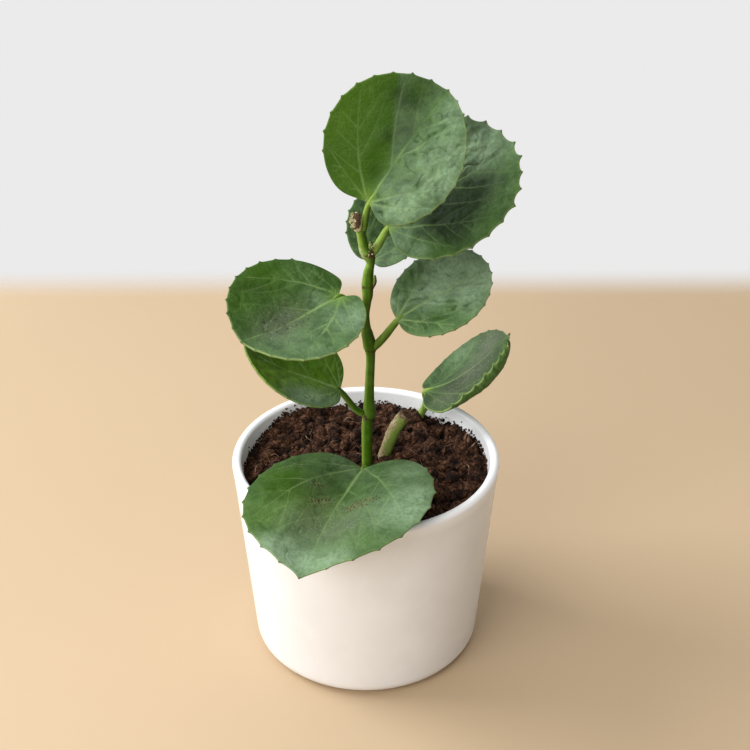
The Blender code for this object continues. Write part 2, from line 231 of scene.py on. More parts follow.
class Recipe(Tree):
    """The node tree of one finish."""

    def __init__(self, name: str) -> None:
        """Make an empty material with its output and shader.

        Args:
            name: The material's name.
        """
        self.material = bpy.data.materials.new(name)
        self.material.use_nodes = True
        super().__init__(self.material.node_tree)
        self.shader = self.graph.nodes["Principled BSDF"]

    def place(self) -> Wire:
        """Object coordinates."""
        return self.node("ShaderNodeTexCoord", result="Object")

    def flat(self) -> Wire:
        """The piece's own flat map."""
        return self.node("ShaderNodeTexCoord", result="UV")

    def channels(self, name: str) -> tuple[Wire, Wire, Wire, Wire]:
        """Read a stored tint.

        Args:
            name: The attribute's name.

        Returns:
            Its four channels.
        """
        stored = self.node("ShaderNodeAttribute", {"attribute_name": name})
        red = self.red(stored)
        return red, red.beside("Green"), red.beside("Blue"), stored.beside("Alpha")

    def red(self, colour: Wire) -> Wire:
        """First channel of a colour."""
        return self.node("ShaderNodeSeparateColor", None, {"Color": colour})

    def mix(self, factor: "Wire | float", first: "Wire | Colour", second: "Wire | Colour") -> Wire:
        """Blend two colours by the share of the second one."""
        return self.node("ShaderNodeMix", {"data_type": "RGBA", "clamp_factor": True},
                         {"Factor_Float": factor, "A_Color": first, "B_Color": second}, "Result_Color")

    def noise(self, where: Wire, size: float, detail: float = 3.0, roughness: float = 0.55) -> Wire:
        """Noise from 0 to 1, with features of a given size in metres."""
        return self.node("ShaderNodeTexNoise", None,
                         {"Vector": where, "Scale": 1 / size, "Detail": detail, "Roughness": roughness})

    def cells(self, where: Wire, size: float, feature: str = "F1", result: str = "Distance") -> Wire:
        """Voronoi cells of a given size in metres: distances in cells, or a random colour of each cell."""
        sockets = {"Vector": where, "Scale": 1 / size}
        return self.node("ShaderNodeTexVoronoi", {"feature": feature}, sockets, result)

    def bump(self, height: Wire, distance: float, strength: float = 1.0, under: Wire | None = None) -> Wire:
        """Fine relief.

        Args:
            height: Height from 0 to 1.
            distance: Relief in metres.
            strength: Share of the effect.
            under: A normal that it adds to.

        Returns:
            The changed normal.
        """
        sockets = {"Height": height, "Distance": distance, "Strength": strength}
        if under:
            sockets["Normal"] = under
        return self.node("ShaderNodeBump", None, sockets)

    def finish(self, **sockets: "Wire | float | Sequence[float]") -> Material:
        """Set the shader's sockets.

        Args:
            **sockets: Values or wires, with underscores for the spaces in the names.

        Returns:
            The finished material.
        """
        for name, value in sockets.items():
            self.connect(self.shader.inputs[name.replace("_", " ")], value)
        return self.material


@dataclass(frozen=True)
class LeafSkin:
    """Fleshy leaf tissue: green under a waxy bloom with painted sheen, with pale veins, a pale rim that is
    partly painted edge light, painted shadow, painted glow and small blemishes.
    """

    deep: Colour = (0.018, 0.047, 0.009)
    green: Colour = (0.043, 0.094, 0.018)
    fresh: Colour = (0.036, 0.096, 0.001)
    # Painted glow: light shining through the blade, painted into the colour
    painted_glow: Colour = (0.125, 0.25, 0.01)
    # The waxy bloom's colour, partly painted sheen
    bloom_and_sheen: Colour = (0.215, 0.31, 0.185)
    # Painted shadow: shadows cast by other leaves, and painted shade in creases and hollows
    shade: Colour = (0.01, 0.022, 0.005)
    vein: Colour = (0.22, 0.32, 0.11)
    # Pale margin, partly painted edge light
    rim: Colour = (0.33, 0.43, 0.13)
    under: Colour = (0.11, 0.18, 0.055)
    blemish: Colour = (0.034, 0.026, 0.01)
    dust: Colour = (0.14, 0.148, 0.105)
    stain: Colour = (0.17, 0.18, 0.075)
    wax: Colour = (0.42, 0.45, 0.4)
    spot_size: float = 0.00095
    grain_size: float = 0.0006

    def material(self) -> Material:
        """Build the finish.

        Returns:
            The leaf material.
        """
        r = Recipe("leaf skin")
        flat = r.flat()
        metres = r.node("ShaderNodeVectorMath", {"operation": "SCALE"}, {"Vector": flat, "Scale": FLAT_SPAN})
        vein, rim, bloom_and_sheen, side = r.channels("tissue")
        fresh, shade, speck, tooth = r.channels("tint")
        # The dust tint carries real dust in its first channel and painted glow in its second
        dusty, painted_glow, _, _ = r.channels("dust")
        mottle = r.noise(metres, 0.007, 4.0)
        streak = r.noise(metres, 0.0018, 3.0, 0.6)
        fine = r.noise(metres, 0.00045, 2.0, 0.6)
        net = r.ramp(r.cells(metres, 0.0021, "DISTANCE_TO_EDGE"), 0.0, 0.14, 1.0, 0.0)
        base = r.mix(r.ramp(mottle, 0.32, 0.68), self.deep, self.green)
        base = r.mix(fresh * r.ramp(streak, 0.1, 0.7, 0.8, 1.0), base, self.fresh)
        # Waxy bloom with painted sheen, streaked by the mottle
        base = r.mix(bloom_and_sheen * r.ramp(mottle * 0.4 + streak * 0.6, 0.34, 0.64, 0.6, 1.12), base, self.bloom_and_sheen)
        # Painted glow of light shining through the blade
        base = r.mix(painted_glow * r.ramp(streak, 0.2, 0.7, 0.75, 1.0), base, self.painted_glow)
        base = r.mix(net * r.ramp(mottle, 0.35, 0.6) * 0.1 * (1 - side), base, self.vein)
        # Painted shadow and painted crease shade
        base = r.mix(shade * 0.92, base, self.shade)
        base = r.mix(dusty * r.ramp(fine * 0.6 + streak * 0.4, 0.35, 0.6, 0.45, 0.95), base, self.dust)
        under = r.mix(r.ramp(streak, 0.3, 0.7), self.under, self.green)
        base = r.mix(side, base, r.mix(fresh * 0.35, under, self.fresh))
        base = r.mix(vein * 0.62, base, self.vein)
        # Pale margin, partly painted edge light
        base = r.mix(rim, base, self.rim)
        base = r.mix(tooth, base, self.blemish)
        draw = r.red(r.cells(metres, self.spot_size, result="Color"))
        spot = r.ramp(r.cells(metres, self.spot_size), 0.38, 0.5, 1.0, 0.0) * r.ramp(speck + draw, 0.93, 0.97)
        spot = spot * r.ramp(speck, 0.02, 0.08)
        base = r.mix(r.ramp(speck, 0.3, 0.75, 0.0, 0.4), base, self.stain)
        base = r.mix(spot * 0.95, base, self.blemish)
        grain = r.red(r.cells(metres, self.grain_size, result="Color"))
        wax = r.ramp(r.cells(metres, self.grain_size), 0.2, 0.36, 1.0, 0.0)
        wax = wax * r.ramp(dusty * 0.4 + grain, 1.02, 1.06)
        base = r.mix(wax * 0.55, base, self.wax)
        normal = r.bump(net * -0.4 + streak * 0.6, 0.00018, 0.8)
        normal = r.bump(fine, 0.00003, 0.6, normal)
        rough = 0.44 + 0.14 * bloom_and_sheen + 0.1 * streak + 0.15 * side
        return r.finish(Base_Color=base, Roughness=rough, Normal=normal, Subsurface_Weight=0.1,
                        Subsurface_Radius=(0.3, 0.8, 0.1), Subsurface_Scale=0.0014, IOR=1.45,
                        Specular_IOR_Level=0.11)


@dataclass(frozen=True)
class StemSkin:
    """Green stem and petiole skin: smooth, striped along its length, with corky scars at the nodes, painted
    light on one side and painted shade on the other.
    """

    green: Colour = (0.046, 0.112, 0.001)
    # lit is painted light on the left side; deep is painted shade on the right side, and also darkens some
    # stripes
    lit: Colour = (0.29, 0.42, 0.075)
    deep: Colour = (0.016, 0.04, 0.001)
    scar: Colour = (0.07, 0.034, 0.016)
    crust: Colour = (0.48, 0.48, 0.27)

    def material(self) -> Material:
        """Build the finish.

        Returns:
            The stem material.
        """
        r = Recipe("stem skin")
        place = r.place()
        scar, lit, deep, crust = r.channels("tissue")
        long = r.node("ShaderNodeVectorMath", {"operation": "MULTIPLY"},
                      {"Vector": place, "Vector_001": (1.0, 1.0, 0.12)})
        stripes = r.noise(long, 0.0006, 3.0)
        mottle = r.noise(place, 0.003, 3.0)
        fine = r.noise(place, 0.0002, 2.0)
        base = r.mix(r.ramp(mottle, 0.35, 0.7, 0.0, 0.12), self.green, self.lit)
        base = r.mix(lit * r.ramp(stripes, 0.25, 0.7, 0.6, 1.0), base, self.lit)
        # Painted shade on the side away from the light
        base = r.mix(deep * 0.85, base, self.deep)
        base = r.mix(r.ramp(stripes, 0.55, 0.75) * 0.25, base, self.deep)
        base = r.mix(scar * r.ramp(fine, 0.25, 0.6, 0.7, 1.0), base, self.scar)
        base = r.mix(crust * r.ramp(fine, 0.35, 0.6, 0.4, 1.0), base, self.crust)
        normal = r.bump(stripes, 0.0001, 0.7)
        normal = r.bump(fine * (scar + 0.15), 0.00012, 0.8, normal)
        return r.finish(Base_Color=base, Roughness=0.42 + 0.35 * scar + 0.1 * stripes, Normal=normal,
                        Subsurface_Weight=0.12, Subsurface_Radius=(0.5, 0.9, 0.1), Subsurface_Scale=0.0012,
                        Specular_IOR_Level=0.16)


@dataclass(frozen=True)
class DryBark:
    """The old stump: pale flaking bark on its weathered side, green skin on the other with painted shade on
    the side away from the light.
    """

    tan: Colour = (0.33, 0.265, 0.125)
    dark: Colour = (0.085, 0.05, 0.022)
    green: Colour = (0.165, 0.235, 0.028)
    # Painted shade on the green skin's side away from the light
    under: Colour = (0.045, 0.085, 0.006)
    pith: Colour = (0.075, 0.042, 0.022)
    lit: Colour = (0.26, 0.33, 0.09)
    flake: Colour = (0.5, 0.44, 0.27)
    wood: Colour = (0.3, 0.2, 0.1)

    def material(self) -> Material:
        """Build the finish.

        Returns:
            The bark material.
        """
        r = Recipe("dry bark")
        place = r.place()
        bark, pith, away, _ = r.channels("tissue")
        fibre = r.noise(place, 0.0007, 4.0, 0.65)
        blotch = r.noise(place, 0.0022, 3.0)
        # Green skin, with painted shade on the side away from the light
        skin = r.mix(away, r.mix(r.ramp(fibre, 0.35, 0.7, 0.0, 0.5), self.green, self.lit), self.under)
        crust = r.mix(r.ramp(fibre, 0.47, 0.63, 0.0, 0.85), self.tan, self.dark)
        crust = r.mix(r.ramp(blotch, 0.5, 0.7, 0.0, 0.6), crust, self.flake)
        base = r.mix(r.ramp(bark + (fibre - 0.5) * 0.6, 0.22, 0.78), skin, crust)
        base = r.mix(pith, base, r.mix(r.ramp(fibre, 0.4, 0.65), self.pith, self.wood))
        normal = r.bump(fibre, 0.00025, 0.9)
        return r.finish(Base_Color=base, Roughness=0.62 + 0.25 * bark, Normal=normal, Specular_IOR_Level=0.3)


@dataclass(frozen=True)
class CoirMix:
    """Damp coir and peat: dark brown crumbs with lighter, redder fibre showing."""

    dark: Colour = (0.006, 0.0026, 0.0013)
    brown: Colour = (0.05, 0.02, 0.0092)
    light: Colour = (0.19, 0.092, 0.05)

    def material(self) -> Material:
        """Build the finish.

        Returns:
            The soil material.
        """
        r = Recipe("coir mix")
        place = r.place()
        clods = r.noise(place, 0.006, 3.0)
        grit = r.noise(place, 0.0011, 4.0, 0.65)
        fine = r.noise(place, 0.0003, 2.0)
        base = r.mix(r.ramp(clods * 0.6 + grit * 0.4, 0.4, 0.56), self.dark, self.brown)
        base = r.mix(r.ramp(grit, 0.46, 0.68) * r.ramp(clods, 0.42, 0.6), base, self.light)
        normal = r.bump(grit, 0.0006, 0.9)
        normal = r.bump(fine, 0.0002, 0.7, normal)
        return r.finish(Base_Color=base, Roughness=0.88 + 0.1 * grit, Normal=normal, Specular_IOR_Level=0.15)


@dataclass(frozen=True)
class CoirFibre:
    """Loose coir fibre, from straw to dark brown."""

    straw: Colour = (0.34, 0.2, 0.115)
    brown: Colour = (0.085, 0.036, 0.02)

    def material(self) -> Material:
        """Build the finish.

        Returns:
            The fibre material.
        """
        r = Recipe("coir fibre")
        place = r.place()
        tone = r.noise(place, 0.005, 2.0)
        grain = r.noise(place, 0.0004, 2.0)
        base = r.mix(r.ramp(tone, 0.38, 0.66), self.brown, self.straw)
        base = r.mix(r.ramp(grain, 0.5, 0.8, 0.0, 0.4), base, self.brown)
        return r.finish(Base_Color=base, Roughness=0.65 + 0.2 * grain, Normal=r.bump(grain, 0.00004),
                        Specular_IOR_Level=0.35)


@dataclass(frozen=True)
class DriedTissue:
    """Withered shoot: a dark crumpled core and papery pale edges."""

    core: Colour = (0.05, 0.026, 0.013)
    warm: Colour = (0.15, 0.085, 0.042)
    paper: Colour = (0.47, 0.43, 0.235)
    loose: bool = False
    share: float = 1.0

    def material(self) -> Material:
        """Build the finish.

        Returns:
            The dried material.
        """
        r = Recipe("dried tissue")
        place = r.place()
        pale = self.share if self.loose else r.channels("tissue")[0]
        grain = r.noise(place, 0.0005, 4.0, 0.65)
        blotch = r.noise(place, 0.0016, 2.0)
        core = r.mix(r.ramp(grain, 0.4, 0.66), self.core, self.warm)
        base = r.mix(r.ramp(pale + (blotch - 0.5) * 0.5, 0.3, 0.6), core, self.paper)
        base = r.mix(r.ramp(grain, 0.56, 0.74, 0.0, 0.6), base, self.warm)
        return r.finish(Base_Color=base, Roughness=0.72 + 0.15 * grain, Normal=r.bump(grain, 0.0002, 0.9),
                        Specular_IOR_Level=0.3)


@dataclass(frozen=True)
class GlazedCeramic:
    """White satin glaze, thin on the foot where the body shows, with painted light on the rim and inside."""

    white: Colour = (0.85, 0.846, 0.842)
    shade: Colour = (0.818, 0.812, 0.803)
    # Painted light: the rim and the inside are painted lighter than the outside
    lip: Colour = (0.965, 0.965, 0.96)
    body: Colour = (0.62, 0.56, 0.48)
    soiled: Colour = (0.26, 0.19, 0.14)

    def material(self) -> Material:
        """Build the finish.

        Returns:
            The glaze material.
        """
        r = Recipe("white glaze")
        place = r.place()
        foot, dust, lip, _ = r.channels("tissue")
        cloud = r.noise(place, 0.022, 3.0)
        fine = r.noise(place, 0.0009, 3.0)
        base = r.mix(r.ramp(cloud, 0.35, 0.7), self.white, self.shade)
        # Painted light on the rim and inside
        base = r.mix(lip, base, self.lip)
        smear = dust * r.ramp(r.noise(place, 0.0028, 4.0, 0.65), 0.5, 0.72)
        base = r.mix(smear * 0.55, base, self.soiled)
        base = r.mix(foot, base, self.body)
        normal = r.bump(cloud, 0.0004, 0.35)
        normal = r.bump(fine, 0.00002, 0.5, normal)
        return r.finish(Base_Color=base, Roughness=0.34 + 0.08 * (cloud - 0.5) + 0.4 * foot + 0.2 * smear,
                        Normal=normal, Coat_Weight=0.12, Coat_Roughness=0.18, Specular_IOR_Level=0.45)


@dataclass(frozen=True)
class PaleFloor:
    """Plain warm pale studio surface."""

    tone: Colour = (0.525, 0.385, 0.238)
    fades: Pair = (0.345, 0.395)
    cloudy: float = 0.97

    def material(self) -> Material:
        """Build the finish.

        Returns:
            The floor material.
        """
        r = Recipe("pale floor")
        cloud = r.noise(r.place(), 0.3, 2.0)
        base = r.mix(r.ramp(cloud, 0.3, 0.7), self.tone, tuple(self.cloudy * part for part in self.tone))
        far = r.node("ShaderNodeSeparateXYZ", None, {"Vector": r.place()}, "Y")
        return r.finish(Base_Color=base, Roughness=0.5, Specular_IOR_Level=0.5,
                        Alpha=r.ramp(far, *self.fades, 1.0, 0.0))


# Meshes

FLAT_SPAN = 0.12
FLAT_MAP = "flat"
PETIOLE_ON_MAP = (0.5, 0.15)
POINTS_A_SPAN = 24


@dataclass
class Form:
    """Points and faces of a closed surface, with what varies over it."""

    points: Array
    faces: list[tuple[int, ...]]
    tints: dict[str, Array] = field(default_factory=dict)
    flat: Array | None = None
    slots: list[int] | None = None

    def joined(self, other: "Form") -> "Form":
        """Put two surfaces in one.

        Args:
            other: The surface to add, whose faces take the next material slot.

        Returns:
            Both surfaces as one form.
        """
        start = len(self.points)
        tints = {}
        for name in {**self.tints, **other.tints}:
            parts = [form.tints.get(name, np.zeros((len(form.points), 4))) for form in (self, other)]
            tints[name] = np.vstack(parts)
        flats = [np.zeros((len(form.points), 2)) if form.flat is None else form.flat
                 for form in (self, other)]
        mine = self.slots or [0] * len(self.faces)
        return Form(np.vstack([self.points, other.points]),
                    self.faces + [tuple(start + corner for corner in face) for face in other.faces],
                    tints, np.vstack(flats), mine + [max(mine) + 1] * len(other.faces))

    def mesh(self, name: str) -> bpy.types.Mesh:
        """Make a bare mesh.

        Args:
            name: The mesh's name.

        Returns:
            The mesh, with its points and faces alone.
        """
        mesh = bpy.data.meshes.new(name)
        mesh.from_pydata(self.points.tolist(), [], self.faces)
        return mesh

    def piece(self, name: str, slot: Slot, materials: Sequence[Material],
              replaces: str | None = None) -> Piece:
        """Make the object, and let it ride on the body.

        Args:
            name: The piece's name.
            slot: The record's slot that its finish belongs to; not used.
            materials: The finishes of its slots.
            replaces: The CAD node that it stands for.

        Returns:
            The piece.
        """
        mesh = self.mesh(name)
        for key, values in self.tints.items():
            stored = mesh.attributes.new(key, "FLOAT_COLOR", "POINT")
            stored.data.foreach_set("color", np.ascontiguousarray(values, np.float32).ravel())
        if self.flat is not None:
            corners = np.empty(len(mesh.loops), np.int32)
            mesh.loops.foreach_get("vertex_index", corners)
            layer = mesh.uv_layers.new(name=FLAT_MAP)
            layer.uv.foreach_set("vector", self.flat[corners].astype(np.float32).ravel())
        for material in materials:
            mesh.materials.append(material)
        if self.slots:
            mesh.polygons.foreach_set("material_index", np.array(self.slots, np.int32))
        mesh.shade_smooth()
        mesh.update()
        return settle(bpy.data.objects.new(name, mesh), replaces)


def settle(piece: Piece, replaces: str | None = None) -> Piece:
    """Args:
        piece: The finished object.
        replaces: The CAD node that it stands for.

    Returns:
        The same piece.
    """
    if piece.name not in bpy.context.scene.collection.objects:
        bpy.context.scene.collection.objects.link(piece)
    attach(piece, "root")
    if replaces:
        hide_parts(replaces)
    triangles = sum(len(face.vertices) - 2 for face in piece.data.polygons)
    LOG.info("%s: %d triangles", piece.name, triangles)
    return piece


def smooth_route(keys: Sequence[Sequence[float]]) -> Array:
    """Run a Catmull-Rom curve through its keys.

    Args:
        keys: Rows of x, y, z and radius.

    Returns:
        Points on the curve, as rows of x, y, z and radius.
    """
    given = np.array(keys, float)
    ends = np.vstack([2 * given[0] - given[1], given, 2 * given[-1] - given[-2]])
    steps = (np.arange(POINTS_A_SPAN) / POINTS_A_SPAN)[:, None]
    spans = []
    for p0, p1, p2, p3 in zip(ends, ends[1:], ends[2:], ends[3:]):
        spans.append(0.5 * (2 * p1 + (p2 - p0) * steps + (2 * p0 - 5 * p1 + 4 * p2 - p3) * steps**2
                            + (3 * p1 - p0 - 3 * p2 + p3) * steps**3))
    return np.vstack([*spans, given[-1]])


def circle(radius: float, height: float, sides: int) -> Array:
    """Points round the pot's axis, in metres."""
    turn = np.arange(sides) * 2 * math.pi / sides
    return np.stack([radius * np.cos(turn), radius * np.sin(turn), np.full(sides, height)], 1)


def faces_of(*corners: Array) -> list[tuple[int, ...]]:
    """Faces from one grid of point numbers for each of their corners."""
    return [tuple(face) for face in np.stack([part.ravel() for part in corners], 1).tolist()]


def tube_faces(rings: int, sides: int) -> list[tuple[int, ...]]:
    """Join rings of points, and close the ends on the two points that follow them.

    Args:
        rings: Number of rings.
        sides: Points round a ring.

    Returns:
        The faces of the closed tube.
    """
    ring = np.arange(rings * sides).reshape(rings, sides)
    after = np.roll(ring, -1, axis=1)
    faces = faces_of(ring[:-1], after[:-1], after[1:], ring[1:])
    end = rings * sides
    for low, low_after, top, top_after in np.stack([ring[0], after[0], ring[-1], after[-1]], 1).tolist():
        faces += [(end, low_after, low), (end + 1, top, top_after)]
    return faces


class Tube:
    """A closed tube swept along a route, with rings an even distance apart."""

    def __init__(self, keys: Sequence[Sequence[float]], sides: int, spacing: float) -> None:
        """Lay out the rings.

        Args:
            keys: Rows of x, y, z and radius.
            sides: Points round a ring.
            spacing: Distance between rings, in metres.
        """
        path = smooth_route(keys)
        run = np.concatenate([[0], np.cumsum(np.linalg.norm(np.diff(path[:, :3], axis=0), axis=1))])
        self.rings = max(4, round(run[-1] / spacing) + 1)
        self.sides = sides
        self.along = np.linspace(0, run[-1], self.rings)
        self.axis = np.stack([np.interp(self.along, run, path[:, i]) for i in range(3)], 1)
        self.radius = np.interp(self.along, run, path[:, 3])
        self.angle = np.arange(sides) * 2 * math.pi / sides
        ahead = np.gradient(self.axis, axis=0)
        self.ahead = ahead / np.linalg.norm(ahead, axis=1)[:, None]
        across = np.cross(self.ahead[0], (0.0, 1.0, 0.0))
        self.across = np.empty_like(self.axis)
        for ring in range(self.rings):
            across = across - self.ahead[ring] * across.dot(self.ahead[ring])
            across = across / np.linalg.norm(across)
            self.across[ring] = across

    def outward(self) -> Array:
        """Directions from the axis to each point, as rings by sides by xyz."""
        third = np.cross(self.ahead, self.across)
        return (self.across[:, None] * np.cos(self.angle)[None, :, None]
                + third[:, None] * np.sin(self.angle)[None, :, None])

    def form(self, relief: Callable[[Array], Array] | None = None,
             tint: Callable[[Array, Array], Array] | None = None) -> Form:
        """Make the surface.

        Args:
            relief: Gives a height in metres for each smooth point.
            tint: Gives four channels for each smooth point and its outward direction.

        Returns:
            The closed tube.
        """
        outward = self.outward()
        smooth = (self.axis[:, None] + outward * self.radius[:, None, None]).reshape(-1, 3)
        directions = outward.reshape(-1, 3)
        points = smooth + directions * relief(smooth)[:, None] if relief else smooth
        values = tint(smooth, directions) if tint else np.zeros((len(points), 4))
        points = np.vstack([points, self.axis[0], self.axis[-1]])
        values = np.vstack([values, values[0], values[-1]])
        return Form(points, tube_faces(self.rings, self.sides), {"tissue": values})


def disc_grid(count: int) -> tuple[Array, Array]:
    """Spread an even square grid over a disc.

    Args:
        count: Cells along each side of the square.

    Returns:
        The reach of each point, from 0 to 1, and its angle from +Y towards +X.
    """
    line = np.linspace(-1, 1, count + 1)
    u, v = (part.ravel() for part in np.meshgrid(line, line))
    wide = np.abs(u) > np.abs(v)
    reach = np.where(wide, np.abs(u), np.abs(v))
    with np.errstate(divide="ignore", invalid="ignore"):
        turn = np.where(wide, math.pi / 4 * v / u, math.pi / 2 - math.pi / 4 * u / v)
    turn = np.nan_to_num(turn)
    signed = np.where(wide, u, v)
    x = signed * np.cos(turn)
    y = signed * np.sin(turn)
    return reach, np.arctan2(x, y)


def square_faces(count: int) -> list[tuple[int, ...]]:
    """Faces of a square grid of points with a count of cells along each side, wound to face up."""
    index = np.arange((count + 1) ** 2).reshape(count + 1, count + 1)
    return faces_of(index[:-1, :-1], index[:-1, 1:], index[1:, 1:], index[1:, :-1])


# Leaves


@dataclass(frozen=True)
class Patch:
    """A soft round area of a blade; its place and size are in millimetres on the flat blade."""

    x: float
    y: float
    size: float
    amount: float

    def at(self, x: Array, y: Array) -> Array:
        """Strength over the blade, with x and y in metres."""
        gap = ((x * 1000 - self.x) ** 2 + (y * 1000 - self.y) ** 2) / self.size**2
        return self.amount * np.exp(-gap)


@dataclass(frozen=True)
class Sector:
    """The area between two rays from a point on the flat blade: millimetres, and degrees from the midrib."""

    x: float
    y: float
    first: float
    last: float
    amount: float
    soft: float = 3.0

    def at(self, x: Array, y: Array) -> Array:
        """Fade the area in at its rays.

        Args:
            x: Flat x, in metres.
            y: Flat y, in metres.

        Returns:
            The strength at each point.
        """
        px, py = x * 1000 - self.x, y * 1000 - self.y
        inside = self.amount
        for angle, side in ((self.first, 1), (self.last, -1)):
            turn = math.radians(angle)
            gap = side * (px * math.cos(turn) - py * math.sin(turn))
            inside = inside * smoothstep(-self.soft, self.soft, gap)
        return inside


# Areas of tint on a blade: a Sector, or the x, y, size and amount of a Patch
Areas = tuple[Sector | tuple[float, float, float, float], ...]


@dataclass(frozen=True)
class Vein:
    """A vein that leaves its start at one angle from the midrib and ends at another, in degrees."""

    start: Pair
    leaves: float
    ends: float
    reach: float
    width: float


@dataclass(frozen=True)
class LeafForm:
    """One leaf, in the CAD model's terms. Lengths are in metres and angles in degrees."""

    name: str
    base: Point
    route: tuple[Point, ...]
    heading: float
    rise: float
    roll: float
    length: float
    width: float
    lobe: float
    egg: float = 0.0
    skew: float = 0.0
    sinus: float = 0.31
    fold: Pair = (10.0, 10.0)
    turn: Pair = (5.0, 5.0)
    curl: Pair = (0.0, 0.0)
    bend: float = 0.0
    droop: float = 0.0
    teeth: Pair = (0.0009, 0.0009)
    petiole: float = 0.0018
    # How hollow the margin is between its teeth, and how far the blade's tip is drawn out
    scallop: float = 0.45
    drip: float = 0.0
    # Whether the curl keeps to the margin, and half widths of the valley and of the change of tone there
    follow: bool = False
    soft: float = 0.005
    blend: float = 0.003
    # Bloom with painted sheen, freshness and painted shade of the left and right halves, and how puckered
    # they are
    bloom_and_sheen: Pair = (0.45, 0.45)
    fresh: Pair = (0.15, 0.15)
    shade: Pair = (0.0, 0.0)
    pucker: Pair = (0.6, 0.6)
    # Areas of bloom with painted sheen, of green, of painted shadow, of specks, of dust and of painted glow
    blooms_and_sheens: Areas = ()
    greens: Areas = ()
    painted_shades: Areas = ()
    specks: Areas = ()
    dusts: Areas = ()
    painted_glows: Areas = ()
    # Strength of the veins, and the share of the length where the midrib fades
    etch: float = 1.0
    midrib: float = 0.7
    # How much painted light and painted shade the petiole's sides get, and strength of the pale margin,
    # partly painted edge light, on each half
    stalk: Pair = (0.38, 0.7)
    rims: Pair = (0.18, 0.18)
    # Angles at which the basal veins leave and end, on the left and right
    basal: tuple[tuple[Pair, ...], ...] = (
        ((42, 30), (64, 50), (98, 74)), ((42, 30), (64, 50), (98, 74)))
    # Veins that leave the midrib: share of its length, side, angles at start and end, and width
    branches: tuple[tuple[float, int, float, float, float], ...] = (
        (0.3, 1, 46, 20, 0.00036), (0.36, -1, 46, 20, 0.00036), (0.5, 1, 46, 20, 0.00034),
        (0.57, -1, 46, 20, 0.00034), (0.7, 1, 46, 20, 0.0003), (0.76, -1, 46, 20, 0.0003))


